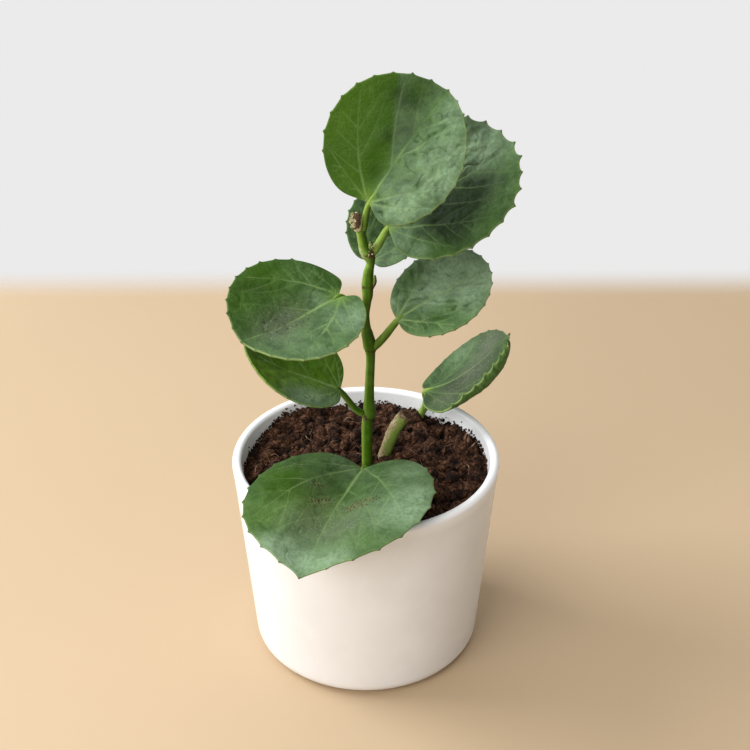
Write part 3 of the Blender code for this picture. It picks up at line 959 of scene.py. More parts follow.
class Blade:
    """The shape of a leaf's blade, from flat points to space."""

    samples: int = 2001
    bearings: int = 1441
    crease: float = 0.0009
    sharp_until: float = 0.012
    drip_spread: float = 0.07

    def __init__(self, leaf: LeafForm) -> None:
        """Tabulate the fold and the bend, and the flat outline.

        Args:
            leaf: The leaf.
        """
        self.leaf = leaf
        self.centre = (leaf.length - leaf.lobe) / 2
        self.x = np.linspace(-0.7 * leaf.width, 0.7 * leaf.width, self.samples)
        self.sharp = self.profile(self.crease)
        self.soft = self.profile(leaf.soft)
        for number, sign in ((1, -1.0), (1, 1.0), (2, -1.0), (2, 1.0)):
            # Beyond the rounded valley the blade lies where the sharp fold has it
            past = sign * 1.2 * leaf.soft
            gap = np.interp(past, self.x, self.sharp[number]) - np.interp(past, self.x, self.soft[number])
            self.soft[number] += gap * smoothstep(0.0, sign * leaf.soft, self.x)
        y = np.linspace(-leaf.length, 1.5 * leaf.length, self.samples)
        self.y = y
        share = y / leaf.length
        self.lean = np.radians(leaf.bend * share + leaf.droop * np.maximum(share, 0) ** 3)
        self.ahead = self.summed(y, np.cos(self.lean))
        self.fall = self.summed(y, np.sin(self.lean))
        turn = Matrix.Rotation(math.radians(leaf.heading), 3, "Z")
        tilt = Matrix.Rotation(math.radians(leaf.rise), 3, "X")
        roll = Matrix.Rotation(math.radians(leaf.roll), 3, "Y")
        self.turned = np.array(turn @ tilt @ roll)
        angle = np.linspace(-math.pi, math.pi, self.bearings)
        ox, oy = self.outline(angle)
        self.bearing = np.unwrap(np.arctan2(ox, oy - self.centre))
        self.radius = np.hypot(ox, oy - self.centre)

    @staticmethod
    def summed(at: Array, rate: Array) -> Array:
        """Integral of a rate over its sample places, zero at the origin."""
        total = np.concatenate([[0], np.cumsum((rate[1:] + rate[:-1]) / 2 * np.diff(at))])
        return total - np.interp(0.0, at, total)

    def outline(self, angle: Array) -> tuple[Array, Array]:
        """Flat margin without its teeth.

        Args:
            angle: Angles from the tip, positive to the right.

        Returns:
            The margin's x and y.
        """
        leaf = self.leaf
        x = leaf.width / 2 * np.sin(angle) * (1 - leaf.egg * np.cos(angle)) * (1 + leaf.skew * np.sign(angle))
        reach = (leaf.length + leaf.lobe) / 2
        notch = leaf.lobe * bell(math.pi - np.abs(angle), leaf.sinus)
        drip = leaf.drip * np.exp(-((np.abs(angle) / self.drip_spread) ** 1.5))
        return x, self.centre + reach * np.cos(angle) + notch + drip

    def profile(self, crease: float) -> list[Array]:
        """Fold the blade across, with the midrib's valley rounded.

        Args:
            crease: Half width of the rounding, in metres.

        Returns:
            The slope, reach and lift at each sample of x.
        """
        leaf = self.leaf
        q = np.abs(self.x) / (leaf.width / 2)
        ramp = np.clip((q - 0.5) / 0.5, 0, None) ** 2
        slopes = [np.radians(leaf.fold[i] + leaf.turn[i] * q + leaf.curl[i] * ramp) for i in (0, 1)]
        right = smoothstep(-crease, crease, self.x)
        slope = slopes[1] * right - slopes[0] * (1 - right)
        return [slope, self.summed(self.x, np.cos(slope)), self.summed(self.x, np.sin(slope))]

    def across(self, x: Array, y: Array, number: int) -> Array:
        """Read the fold, which is sharp at the stalk and rounder beyond.

        Args:
            x: Flat x, in metres.
            y: Flat y, in metres.
            number: 0 for the slope, 1 for the reach, 2 for the lift.

        Returns:
            The value at each point.
        """
        part = smoothstep(0.0, self.sharp_until, y)
        scale = np.ones(len(x))
        if self.leaf.follow:
            # The curl keeps to the margin, so the section shrinks with the blade's width
            along = np.clip((y - self.centre) / ((self.leaf.length + self.leaf.lobe) / 2), 0, 0.97)
            scale = 1 / np.sqrt(1 - along**2)
        value = (np.interp(x * scale, self.x, self.sharp[number]) * (1 - part)
                 + np.interp(x * scale, self.x, self.soft[number]) * part)
        return value if number == 0 else value / scale

    def share_at(self, x: float, y: float) -> float:
        """Reach of a flat point, from 0 at the blade's centre to 1 at its margin."""
        bearing = math.atan2(x, y - self.centre)
        return math.hypot(x, y - self.centre) / np.interp(bearing, self.bearing, self.radius)

    def place(self, x: Array, y: Array) -> Array:
        """Fold, bend and place flat points.

        Args:
            x: Flat x, in metres.
            y: Flat y, in metres.

        Returns:
            Points of the blade's middle surface.
        """
        lift = self.across(x, y, 2)
        lean = np.interp(y, self.y, self.lean)
        bent = np.stack([self.across(x, y, 1),
                         np.interp(y, self.y, self.ahead) + lift * np.sin(lean),
                         lift * np.cos(lean) - np.interp(y, self.y, self.fall)], 1)
        return bent @ self.turned.T + np.array(self.leaf.base)

    def upward(self, x: Array, y: Array) -> Array:
        """Directions out of the upper face.

        Args:
            x: Flat x, in metres.
            y: Flat y, in metres.

        Returns:
            Unit vectors.
        """
        slope = self.across(x, y, 0)
        lean = np.interp(y, self.y, self.lean)
        normal = np.stack([-np.sin(slope), np.cos(slope) * np.sin(lean), np.cos(slope) * np.cos(lean)], 1)
        return normal @ self.turned.T


class Venation:
    """The veins of one blade, as flat polylines that narrow outwards."""

    step: float = 0.0008
    most_steps: int = 200
    # How near the margin the midrib, the basal veins and the side veins come, and their widths
    reaches: Triple = (0.97, 0.93, 0.9)
    midrib_width: float = 0.00075
    basal_widths: Triple = (0.00055, 0.00046, 0.00034)
    # Where side veins leave the basal veins, on the outer and on the inner side, and at which angles
    outer: tuple[float, ...] = (0.3, 0.5, 0.7)
    outer_angles: Pair = (44, 24)
    outer_width: float = 0.0003
    inner: tuple[float, ...] = (0.42, 0.66)
    inner_angles: Pair = (36, 14)
    inner_width: float = 0.00026
    scope: float = 0.006

    def __init__(self, blade: Blade, seed: int) -> None:
        """Grow the veins.

        Args:
            blade: The blade that carries them.
            seed: Seed of their small differences.
        """
        self.blade = blade
        self.draw = np.random.default_rng(seed)
        self.segments: list[tuple[float, ...]] = []
        leaf = blade.leaf
        midrib = self.grow(Vein((0.0, 0.0), 0.0, 0.0, self.reaches[0], self.midrib_width))
        for place, side, leaves, ends, width in leaf.branches:
            self.branch(midrib, place, side, (leaves, ends), width)
        for index, side in ((0, -1), (1, 1)):
            for number, (leaves, ends) in enumerate(leaf.basal[index]):
                width = self.basal_widths[number]
                grown = self.grow(Vein((0.0, 0.0), side * leaves, side * ends, self.reaches[1], width))
                for place in self.outer if number < 2 else ():
                    place += self.draw.uniform(-0.04, 0.04)
                    self.branch(grown, place, side, self.outer_angles, self.outer_width)
                for place in self.inner if number == 0 else ():
                    self.branch(grown, place, -side, self.inner_angles, self.inner_width)

    def grow(self, vein: Vein) -> list[tuple[float, ...]]:
        """March one vein outwards until it nears the margin.

        Args:
            vein: The vein.

        Returns:
            Its points, with the heading at each.
        """
        x, y = vein.start
        room = self.blade.leaf.length
        points = []
        wander = self.draw.uniform(-3, 3)
        count = 0
        while count <= self.most_steps and (self.blade.share_at(x, y) < vein.reach or count < 6):
            share = min(count * self.step / (0.62 * room), 1.0)
            heading = vein.leaves + (vein.ends - vein.leaves) * share + wander * math.sin(share * 7)
            points.append((x, y, heading))
            x += self.step * math.sin(math.radians(heading))
            y += self.step * math.cos(math.radians(heading))
            count += 1
        total = len(points)
        for number, (start, end) in enumerate(zip(points, points[1:])):
            width = vein.width * (1 - 0.72 * number / total)
            self.segments.append((start[0], start[1], end[0], end[1], width))
        return points

    def branch(self, parent: list[tuple[float, ...]], place: float, side: int,
               angles: Pair, width: float) -> None:
        """Grow a side vein.

        Args:
            parent: Points of the vein that it leaves.
            place: Share of the parent's length where it leaves.
            side: 1 to the right, -1 to the left.
            angles: Angles to the parent at its start and end.
            width: Its width at the start.
        """
        x, y, heading = parent[min(int(place * len(parent)), len(parent) - 1)]
        first, last = (heading + side * angle for angle in angles)
        self.grow(Vein((x, y), first, last, self.reaches[2], width))

    def strength(self, x: Array, y: Array, spread: float = 1.0) -> tuple[Array, Array]:
        """Strength of the veins over the blade.

        Args:
            x: Flat x, in metres.
            y: Flat y, in metres.
            spread: Widens every vein.

        Returns:
            Strength from 0 to 1 weighted by width, and the distance to the nearest vein.
        """
        best = np.zeros(len(x))
        near = np.full(len(x), 1.0)
        for ax, ay, bx, by, width in self.segments:
            dx, dy = bx - ax, by - ay
            close = (np.abs(x - ax) < self.scope) & (np.abs(y - ay) < self.scope)
            px, py = x[close] - ax, y[close] - ay
            part = np.clip((px * dx + py * dy) / (dx * dx + dy * dy), 0, 1)
            gap = np.hypot(px - part * dx, py - part * dy)
            value = bell(gap, width * spread) * min(1.0, 0.25 + width / 0.0007)
            best[close] = np.maximum(best[close], value)
            near[close] = np.minimum(near[close], gap)
        return best, np.minimum(near, self.scope)


@dataclass(frozen=True)
class LeafMaker:
    """Builds a leaf: both faces of the blade with its veins and teeth, and its petiole."""

    spacing: float = 0.00038
    thickness: float = 0.001
    edge: float = 0.00055
    tooth_zone: float = 0.0032
    tooth_inset: float = 0.15
    tooth_heights: Pair = (0.7, 1.2)
    ring_crowding: float = 0.0008
    # Heights of what rises between the veins, and depths of what is carved in the upper and lower face
    swell: float = 0.0007
    pillow: float = 0.00048
    ripple: float = 0.00052
    ridge: float = 0.00042
    vein_groove: float = 0.0002
    vein_crest: float = 0.00007
    crease_depth: float = 0.00016
    rib: float = 0.00036
    # The petiole ends inside the blade
    petiole_sides: int = 28
    petiole_spacing: float = 0.0005
    petiole_depth: float = 0.00055
    petiole_overlap: float = 0.0045

    def reach(self, share: Array, half: float) -> Array:
        """Crowd the grid's rings near the margin.

        Args:
            share: Even reach from 0 to 1.
            half: Half width of the blade.

        Returns:
            Reach from 0 to 1 with fine steps at the margin.
        """
        soft = self.ring_crowding
        gap = (1 - share) * half
        return 1 - gap * gap / (gap + soft) * (half + soft) / half / half

    def tooth(self, phase: Array, scallop: float) -> Array:
        """Profile of the teeth, which lean towards the leaf's tip.

        Args:
            phase: Share of the way from one tooth to the next, towards the tip.
            scallop: Share of the height that the hollow between the teeth takes.

        Returns:
            Height from 0 to 1.
        """
        near = np.minimum(phase * 0.85, 1 - phase)
        hollow = np.abs(2 * phase - 0.92) ** 2.2
        return scallop * np.minimum(hollow, 1) + (1 - scallop) * np.exp(-((near / 0.075) ** 1.2))

    def flat_points(self, blade: Blade, share: Array, angle: Array) -> tuple[Array, ...]:
        """Lay the grid on the flat blade.

        Args:
            blade: The blade.
            share: Reach of each grid point.
            angle: Its angle from the tip.

        Returns:
            Flat x and y, and how near each point is to a tooth's tip.
        """
        leaf = blade.leaf
        draw = random.Random(leaf.name)
        heights = np.array([draw.uniform(*self.tooth_heights) for _ in range(TEETH_ROUND)])
        x, y = blade.outline(angle)
        turn = (angle + math.pi) / (2 * math.pi) * TEETH_ROUND
        tooth = np.floor(turn).astype(int) % TEETH_ROUND
        phase = turn - np.floor(turn)
        height = np.where(phase < 0.5, heights[tooth], heights[(tooth + 1) % TEETH_ROUND])
        rise = self.tooth(np.where(angle < 0, phase, 1 - phase), leaf.scallop)
        size = np.where(angle > 0, leaf.teeth[1], leaf.teeth[0])
        fade = smoothstep(TOOTHLESS_FROM + 0.1, TOOTHLESS_FROM - 0.06, np.abs(angle))
        step = size * (height * rise - self.tooth_inset) * fade
        half = leaf.width / 2
        step = step * smoothstep(1 - self.tooth_zone / half, 1.0, share) / np.hypot(x, y - blade.centre)
        x, y = x * (share + step), blade.centre + (y - blade.centre) * (share + step)
        tip = rise**4 * fade * smoothstep(1 - 0.0009 / half, 1.0, share) * np.clip(size / 0.001, 0.5, 1)
        return x, y, tip

    def halves(self, x: Array, values: Pair, soft: float) -> Array:
        """Blend a left and a right value across the midrib."""
        right = smoothstep(-soft, soft, x)
        return values[0] * (1 - right) + values[1] * right

    def relief(self, leaf: LeafForm, seed: int, flat: Array, gap: Array,
               near: Array) -> tuple[Array, Array]:
        """Pucker the blade between its veins.

        Args:
            leaf: The leaf.
            seed: Seed of its noise.
            flat: Flat points with a third coordinate.
            gap: Distance to the margin.
            near: Distance to the nearest vein.

        Returns:
            Heights in metres, and the strength of the creases.
        """
        noise = Noise(seed)
        x, y = flat[:, 0], flat[:, 1]
        pucker = self.halves(x, leaf.pucker, leaf.blend) * smoothstep(0.0, 0.004, gap)
        away = smoothstep(0.0003, 0.0016, near)
        line = noise.layered(flat * (1.0, 0.8, 1.0) + 0.2, 0.0085, 3)
        cross = noise.layered(flat * (0.7, 1.0, 1.0) + 0.5, 0.006, 2)
        some = smoothstep(0.05, 0.45, noise.at(flat + 0.3, 0.0065))
        crease = bell(line, 0.055) * some + 0.7 * bell(cross, 0.05) * (1 - some) * away
        crease = np.clip(crease * pucker * away, 0, 1)
        height = pucker * (self.pillow * (1 - bell(near, 0.0022))
                           + self.ripple * noise.layered(flat * (1.0, 0.7, 1.0), 0.0038, 3)
                           + self.ridge * np.minimum(np.abs(line) / 0.22, 1))
        swell = self.swell * noise.layered(flat + 0.6, 0.015, 2) * smoothstep(0.0, 0.009, gap)
        return height + swell, crease

    def blade_form(self, leaf: LeafForm, seed: int) -> tuple[Form, Blade]:
        """Make the blade.

        Args:
            leaf: The leaf.
            seed: Seed of its veins and mottling.

        Returns:
            The closed blade, and its shape.
        """
        blade = Blade(leaf)
        half = leaf.width / 2
        count = 4 * round(leaf.width / self.spacing / 4)
        even, angle = disc_grid(count)
        share = self.reach(even, half)
        x, y, tip = self.flat_points(blade, share, angle)
        gap = (1 - share) * half
        grown = Venation(blade, seed)
        veins, near = grown.strength(x, y)
        ribs = grown.strength(x, y, 1.35)[0]
        flat = np.stack([x, y, np.full(len(x), 0.001 * seed)], 1)
        relief, crease = self.relief(leaf, seed, flat, gap, near)
        thick = self.thickness / 2 * np.sqrt(1 - (1 - np.clip(gap / self.edge, 0, 1)) ** 2)
        middle = blade.place(x, y)
        upward = blade.upward(x, y)
        inland = thick / (self.thickness / 2)
        carved = self.vein_crest * veins**4 - self.vein_groove * veins - self.crease_depth * crease
        upper = middle + upward * (thick + inland * (relief + carved))[:, None]
        lower = middle - upward * (thick + inland * (self.rib * ribs - 0.85 * relief))[:, None]
        tints = self.tints(leaf, seed, flat, gap, veins, crease, tip)
        beneath = {name: values.copy() for name, values in tints.items()}
        beneath["tissue"][:, 0] = ribs
        beneath["tissue"][:, 3] = 1.0
        # The lower face has every second point of the grid, and meets the upper one at the margin
        size = count + 1
        index = np.arange(size * size).reshape(size, size)
        rows, columns = np.divmod(np.arange(size * size), size)
        kept = (rows % 2 == 0) & (columns % 2 == 0) & (rows % count != 0) & (columns % count != 0)
        low = index.ravel().copy()
        low[kept] = size * size + np.arange(kept.sum())
        low = low.reshape(size, size)
        faces = square_faces(count)
        for r in range(0, count, 2):
            for c in range(0, count, 2):
                corners = [low[r, c]]
                corners += [index[r + 1, c]] * (c == 0)
                corners.append(low[r + 2, c])
                corners += [index[r + 2, c + 1]] * (r + 2 == count)
                corners.append(low[r + 2, c + 2])
                corners += [index[r + 1, c + 2]] * (c + 2 == count)
                corners.append(low[r, c + 2])
                corners += [index[r, c + 1]] * (r == 0)
                faces.append(tuple(int(corner) for corner in corners))
        place = np.stack([x, y], 1) / FLAT_SPAN + PETIOLE_ON_MAP
        form = Form(np.vstack([upper, lower[kept]]), faces,
                    {name: np.vstack([tints[name], beneath[name][kept]]) for name in tints},
                    np.vstack([place, place[kept]]))
        return form, blade

    def tints(self, leaf: LeafForm, seed: int, flat: Array, gap: Array, veins: Array,
              crease: Array, tip: Array) -> dict[str, Array]:
        """Work out what colours the upper face.

        Args:
            leaf: The leaf.
            seed: Seed of its noise.
            flat: Flat points with a third coordinate.
            gap: Distance to the margin.
            veins: Strength of the veins.
            crease: Strength of the creases.
            tip: Nearness to a tooth's tip.

        Returns:
            Channels by name: tissue has vein, rim (pale margin, partly painted edge light), bloom with
                painted sheen,
            and side, tint has fresh, painted shade, speck and tooth, and dust has dust and painted glow.
        """
        x, y = flat[:, 0], flat[:, 1]
        drift = Noise(seed).layered(flat, 0.012, 3)

        def half(values: Pair) -> Array:
            """A value of each half, blended at the midrib."""
            return self.halves(x, values, leaf.blend)

        def spread(areas: Areas) -> Array:
            """Sum of the areas' strengths."""
            shapes = [Patch(*area) if isinstance(area, tuple) else area for area in areas]
            return sum((shape.at(x, y) for shape in shapes), 0 * x)

        mottle = Noise(seed + 7).layered(flat * (1.0, 0.7, 1.0), 0.0055, 3)
        # Bloom and painted sheen of each half and area, varying more where the blade is puckered
        bloom_and_sheen = half(leaf.bloom_and_sheen) + spread(leaf.blooms_and_sheens)
        bloom_and_sheen = bloom_and_sheen * (1 + 0.3 * drift + 0.45 * half(leaf.pucker) * mottle)
        fresh = half(leaf.fresh) + spread(leaf.greens) - 0.06 * drift
        # Painted shade: shadows cast on each half and area, and darker creases
        shade = half(leaf.shade) + spread(leaf.painted_shades)
        shade = shade * (1 - 0.35 * mottle) + 0.3 * crease
        faint = np.clip(0.62 + 0.9 * Noise(seed + 9).layered(flat, 0.01, 2), 0.12, 1)
        share = y / leaf.length
        beyond = 1 - 0.7 * smoothstep(leaf.midrib, leaf.midrib + 0.2, share) * (leaf.midrib < 0.7)
        rib = np.maximum(faint, smoothstep(leaf.midrib, 0.3 * leaf.midrib, share)) * beyond
        veins = np.clip(veins * leaf.etch * np.where(np.abs(x) < 0.0012, rib, faint), 0, 1)
        heart = np.exp(-(x**2 + (y - 0.001) ** 2) / 0.003**2)
        # Pale margin, partly painted edge light, set for each half
        rim = half(leaf.rims) * bell(gap, 0.00045)
        dust = spread(leaf.dusts) * (1 - 0.5 * veins)
        # The creases take painted shade and lose some of the bloom's painted sheen
        return {"tissue": four_channels(np.maximum(veins, 0.6 * heart), rim, bloom_and_sheen - 0.25 * crease),
                "tint": four_channels(fresh + 0.3 * heart, shade, spread(leaf.specks), 0.8 * tip),
                "dust": four_channels(dust, spread(leaf.painted_glows) * (1 + 0.2 * mottle))}

    def petiole_keys(self, leaf: LeafForm, blade: Blade) -> list[tuple[float, ...]]:
        """Route of the petiole, from its root into the blade.

        Args:
            leaf: The leaf.
            blade: Its blade.

        Returns:
            Rows of x, y, z and radius.
        """
        zero = np.zeros(1)
        up = blade.upward(zero, zero)[0]
        meet = blade.place(zero, zero)[0] - self.petiole_depth * up
        inside = blade.place(zero, zero + self.petiole_overlap)[0] - 0.0002 * up
        keys = [(*point, leaf.petiole) for point in leaf.route]
        keys.append((*meet, 0.5 * leaf.petiole + 0.0005))
        keys.append((*inside, 0.0006))
        return keys

    def build(self, leaf: LeafForm, seed: int, skin: Material, stalk: Material) -> Piece:
        """Build and dress one leaf.

        Args:
            leaf: The leaf.
            seed: Seed of its veins and mottling.
            skin: Finish of the blade.
            stalk: Finish of the petiole.

        Returns:
            The leaf piece.
        """
        form, blade = self.blade_form(leaf, seed)
        noise = Noise(seed + 100)

        def relief(points: Array) -> Array:
            """Fine stripes along the petiole."""
            return 0.00006 * noise.layered(points * (1.0, 1.0, 0.3), 0.0014, 3)

        def tint(points: Array, outward: Array) -> Array:
            """Painted light on the left, painted shade on the right."""
            lit = leaf.stalk[0] - 0.6 * outward[:, 0] + 0.15 * noise.at(points, 0.002)
            return four_channels(0 * lit, lit, leaf.stalk[1] * outward[:, 0] - 0.1)

        petiole = Tube(self.petiole_keys(leaf, blade), self.petiole_sides, self.petiole_spacing)
        whole = form.joined(petiole.form(relief, tint))
        return whole.piece(leaf.name + "_dressed", Slot.LEAF, (skin, stalk), leaf.name)


LEAVES = (
    LeafForm("leaf_top", base=(0.0015, -0.002, 0.2193),
             route=((-0.0012, 0.0005, 0.2045), (-0.0002, 0.0008, 0.2085), (0.0005, 0.0002, 0.214)),
             heading=-81, rise=59.5, roll=35, length=0.0551, width=0.0638, lobe=0.005, skew=-0.022,
             fold=(28, 17), turn=(13, -27), bend=18, droop=-7, petiole=0.0014, soft=0.012, scallop=0.25,
             bloom_and_sheen=(0.02, 0.24), fresh=(0.9, 0.0), pucker=(0.15, 1.1), rims=(0.1, 0.35), midrib=0.4,
             blooms_and_sheens=(Sector(-1, 18, -31, 0, 0.22, 2.0), (26, 30, 13, 0.45), (16, 9, 8, 0.25),
                     (10, 50, 6, 0.14), (9, 19, 6, -0.1), (6, 37, 5, -0.12), (-10, 48, 7, -0.2)),
             greens=(Sector(-1, 18, -31, 0, -0.9, 2.0), (-10, 48, 7, 0.3)),
             painted_shades=((-9, 27, 4, 0.5), (-16, 41, 5, 0.45), (-4, 12, 4, 0.3), (-10, 48, 7, 0.3),
                     (2, 35, 5, 0.25), (8, 19, 4, 0.2), (-5, 33, 4, 0.25)),
             painted_glows=((-27, 20, 9, 0.15), (-30, 34, 9, 0.12), (-12, 6, 6, 0.12), (-1, 2, 4, 0.5)),
             basal=(((50, 32), (67, 71), (98, 84)), ((44, 52), (66, 54), (96, 74))),
             branches=((0.33, -1, 36, 19, 0.00052), (0.42, 1, 40, 24, 0.00036), (0.6, -1, 30, 12, 0.0003),
                       (0.66, 1, 44, 30, 0.00034), (0.8, 1, 40, 24, 0.00028))),
    LeafForm("leaf_upper_right", base=(0.0094, 0.008, 0.204),
             route=((0.0012, 0.0004, 0.194), (0.0052, 0.0025, 0.1985)), heading=-76, rise=30, roll=28.5,
             length=0.062, width=0.0672, lobe=0.0052, egg=0.05, sinus=0.34, fold=(10, 8.5), turn=(6, 2),
             bend=3, droop=-11, teeth=(0.0021, 0.0019), scallop=0.7, bloom_and_sheen=(0.36, 0.1), fresh=(0.0, 0.2),
             pucker=(1.1, 0.7), rims=(0.15, 0.3),
             blooms_and_sheens=((-6, 54, 12, 0.4), (-5, 43, 6, 0.34), (9, 3, 6, 0.45), (21, 7, 4, 0.4)),
             greens=((25, 14, 7, 0.55), (26, 34, 8, 0.3)), painted_glows=((0, 0, 4, 0.5),),
             painted_shades=((8, 24, 12, 1.0), (9, 40, 10, 1.0), (20, 24, 12, 0.8), (-16, 54, 6, 0.5),
                     (-14, 30, 8, 0.3)), stalk=(0.95, 0.3)),
    LeafForm("leaf_back", base=(0.0025, 0.01, 0.1875),
             route=((0.001, 0.0002, 0.179), (0.0017, 0.0055, 0.1825)), heading=-41.5, rise=41, roll=11,
             length=0.0387, width=0.0389, lobe=0.002, egg=-0.053, skew=-0.043, sinus=0.25, fold=(5, 7),
             turn=(9, 13), bend=-1.5, bloom_and_sheen=(0.1, 0.36), fresh=(0.1, 0.25), shade=(0.25, 0.0)),
    LeafForm("leaf_middle_left", base=(-0.0106, -0.003, 0.1779),
             route=((0.0006, -0.0002, 0.1715), (-0.005, -0.0022, 0.1735)), heading=129, rise=-10.5,
             roll=-19.3, length=0.0525, width=0.0599, lobe=0.0063, egg=-0.03, skew=0.04, sinus=0.12,
             fold=(10.5, 9), turn=(10, 6), bend=-3.5, droop=-23, soft=0.01, blend=0.008, scallop=0.3,
             bloom_and_sheen=(0.22, 0.02), fresh=(0.1, 0.35), pucker=(0.35, 0.6), rims=(0.55, 0.1), etch=1.3,
             blooms_and_sheens=((-16, 5, 9, 0.32), (4, 10, 5, 0.3), (-15, 34, 9, 0.12), (17, 7, 8, 0.08)),
             greens=((23, 24, 10, 0.6), (-1, 1, 5, 0.4), (18, 42, 7, 0.3)), painted_glows=((-1, 1, 4, 0.45),),
             painted_shades=((20, 28, 5, 0.55), (5, 31, 6, 0.4), (11, 20, 6, 0.2)),
             specks=((2, 34, 8, 0.08), (-2, 22, 7, 0.08)), dusts=((0, 36, 10, 0.46), (2, 23, 8, 0.4)),
             basal=(((42, 22), (70, 52), (98, 74)), ((62, 30), (84, 62), (108, 84))),
             branches=((0.3, 1, 46, 20, 0.0003), (0.52, -1, 46, 20, 0.0003), (0.66, 1, 46, 20, 0.00028))),
    LeafForm("leaf_middle_right", base=(0.0134, -0.003, 0.1664),
             route=((0.0022, 0.0, 0.1502), (0.0075, -0.0012, 0.1567)), heading=-76.5, rise=24.7, roll=18.8,
             length=0.0453, width=0.0468, lobe=0.0015, egg=-0.016, skew=0.01, sinus=0.345, fold=(5, 9.5),
             turn=(-2.5, 2), bend=-2.5, droop=-16, blend=0.006, bloom_and_sheen=(0.5, 0.2), fresh=(0.1, 0.3),
             pucker=(1.5, 1.0), stalk=(0.2, 0.9), etch=1.2,
             blooms_and_sheens=((-5, 36, 13, 1.1), (9, 38, 10, 1.0), (2, 17, 6, 0.55), (-16, 14, 8, -0.35),
                     (11, 12, 8, -0.08)), greens=((-16, 14, 8, 0.45), (-9, 5, 6, 0.4)),
             painted_shades=((-17, 18, 6, 0.22), (-11, 9, 6, 0.3), (1, 7, 4, 0.35), (9, 10, 5, 0.2),
                     (-9, 24, 3, 0.2)),
             basal=(((38, 30), (64, 50), (98, 74)), ((50, 44), (70, 56), (98, 74)))),
    LeafForm("leaf_lower_left", base=(-0.0109, -0.006, 0.1339),
             route=((0.001, 0.0, 0.117), (-0.0045, -0.0022, 0.122)), heading=89, rise=16.8, roll=-15,
             length=0.0469, width=0.0495, lobe=0.0025, egg=0.078, sinus=0.355, fold=(19, 10), turn=(1.5, 5),
             bend=-18, droop=-15.5, teeth=(0.0004, 0.0004), petiole=0.0015, blend=0.006, bloom_and_sheen=(0.1, 0.02),
             fresh=(0.8, 0.9), pucker=(0.6, 0.6), rims=(0.25, 0.15), etch=1.5,
             blooms_and_sheens=((-15, 12, 10, 0.75), (-17, 23, 8, 0.45)),
             painted_glows=((-8, 41, 8, 0.95), (-17, 34, 8, 0.8), (-6, 24, 8, 0.65), (-4, 12, 7, 0.5),
                    (9, 8, 9, 0.42), (8, 28, 7, 0.25)),
             basal=(((58, 30), (74, 52), (98, 74)), ((50, 52), (72, 60), (98, 80)))),
    LeafForm("leaf_lower_right", base=(0.0278, 0.036, 0.1083),
             route=((0.0235, 0.043, 0.074), (0.0255, 0.042, 0.089), (0.028, 0.041, 0.0962),
                    (0.029, 0.0398, 0.1008)), heading=-90, rise=17, roll=-17, length=0.0474, width=0.0524,
             lobe=0.0046, egg=-0.095, skew=0.02, sinus=0.33, fold=(-3, -21), turn=(42, -14), curl=(0, 125),
             bend=-41, droop=6.5, blend=0.01, teeth=(0.0004, 0.0019), scallop=0.6, follow=True,
             stalk=(1.2, 0.0), bloom_and_sheen=(0.14, 0.04), fresh=(0.0, 0.0), pucker=(0.25, 0.3), rims=(0.1, 0.7),
             blooms_and_sheens=((-21, 22, 8, 0.28),), greens=((22, 8, 9, 0.3), (24, 24, 9, 0.3), (22, 40, 9, 0.5)),
             painted_shades=((5, 16, 9, 0.6), (22, 40, 9, 0.4), (6, 32, 8, 0.42), (-7, 33, 8, 0.22)),
             dusts=((-10, 38, 11, 0.7), (2, 24, 11, 0.6), (12, 8, 8, 0.55)),
             branches=((0.4, -1, 40, 20, 0.00026), (0.6, -1, 40, 20, 0.00024))),
    LeafForm("leaf_front", base=(-0.0013, -0.006, 0.0927),
             route=((0.0006, -0.0004, 0.0895), (0.0, -0.003, 0.0905)), heading=164, rise=14.5, roll=-6,
             length=0.0835, width=0.0818, lobe=0.0042, egg=-0.095, skew=-0.07, fold=(35, 21),
             turn=(-24, -39), bend=26.5, droop=-3.5, teeth=(0.0013, 0.0013), soft=0.016, blend=0.022,
             scallop=0.35, drip=0.0022, bloom_and_sheen=(0.16, 0.1), fresh=(0.35, 0.4), pucker=(0.4, 0.4), etch=1.25,
             midrib=0.65,
             blooms_and_sheens=((2, 78, 9, 0.75), (-12, 80, 9, 0.55), (14, 77, 8, 0.85), (-27, 17, 11, 0.3),
                     (-36, 46, 14, 0.7), (22, 37, 12, -0.1), (6, 8, 8, 0.15), (13, 62, 11, 0.1),
                     (0, 30, 9, -0.08), (-4, 50, 9, -0.08)),
             greens=((22, 37, 13, 0.5), (32, 34, 9, 0.15), (-20, 65, 10, 0.4)), painted_shades=((20, 37, 9, 0.3),),
             painted_glows=((9, 48, 11, 0.28), (24, 62, 10, 0.2)),
             specks=((12, 31, 2.6, 0.85), (9, 42.5, 2.6, 0.8), (6.5, 40, 2.6, 0.85), (4, 36.5, 2.2, 0.75),
                     (-8, 43.5, 2.9, 1.0), (-11.5, 43, 2.9, 1.0), (-14.5, 45.5, 2.2, 0.7),
                     (-17, 41, 2.6, 0.9)),
             dusts=((7, 57, 13, 0.42), (-12, 57, 12, 0.4), (0, 44, 12, 0.16), (12, 32, 8, 0.2)),
             basal=(((34, 33), (66, 62), (92, 72)), ((32, 20), (52, 42), (92, 72))),
             branches=((0.34, 1, 46, 20, 0.00034), (0.3, -1, 46, 20, 0.00034), (0.55, 1, 46, 20, 0.0003),
                       (0.5, -1, 46, 20, 0.0003))),
)


# Pot


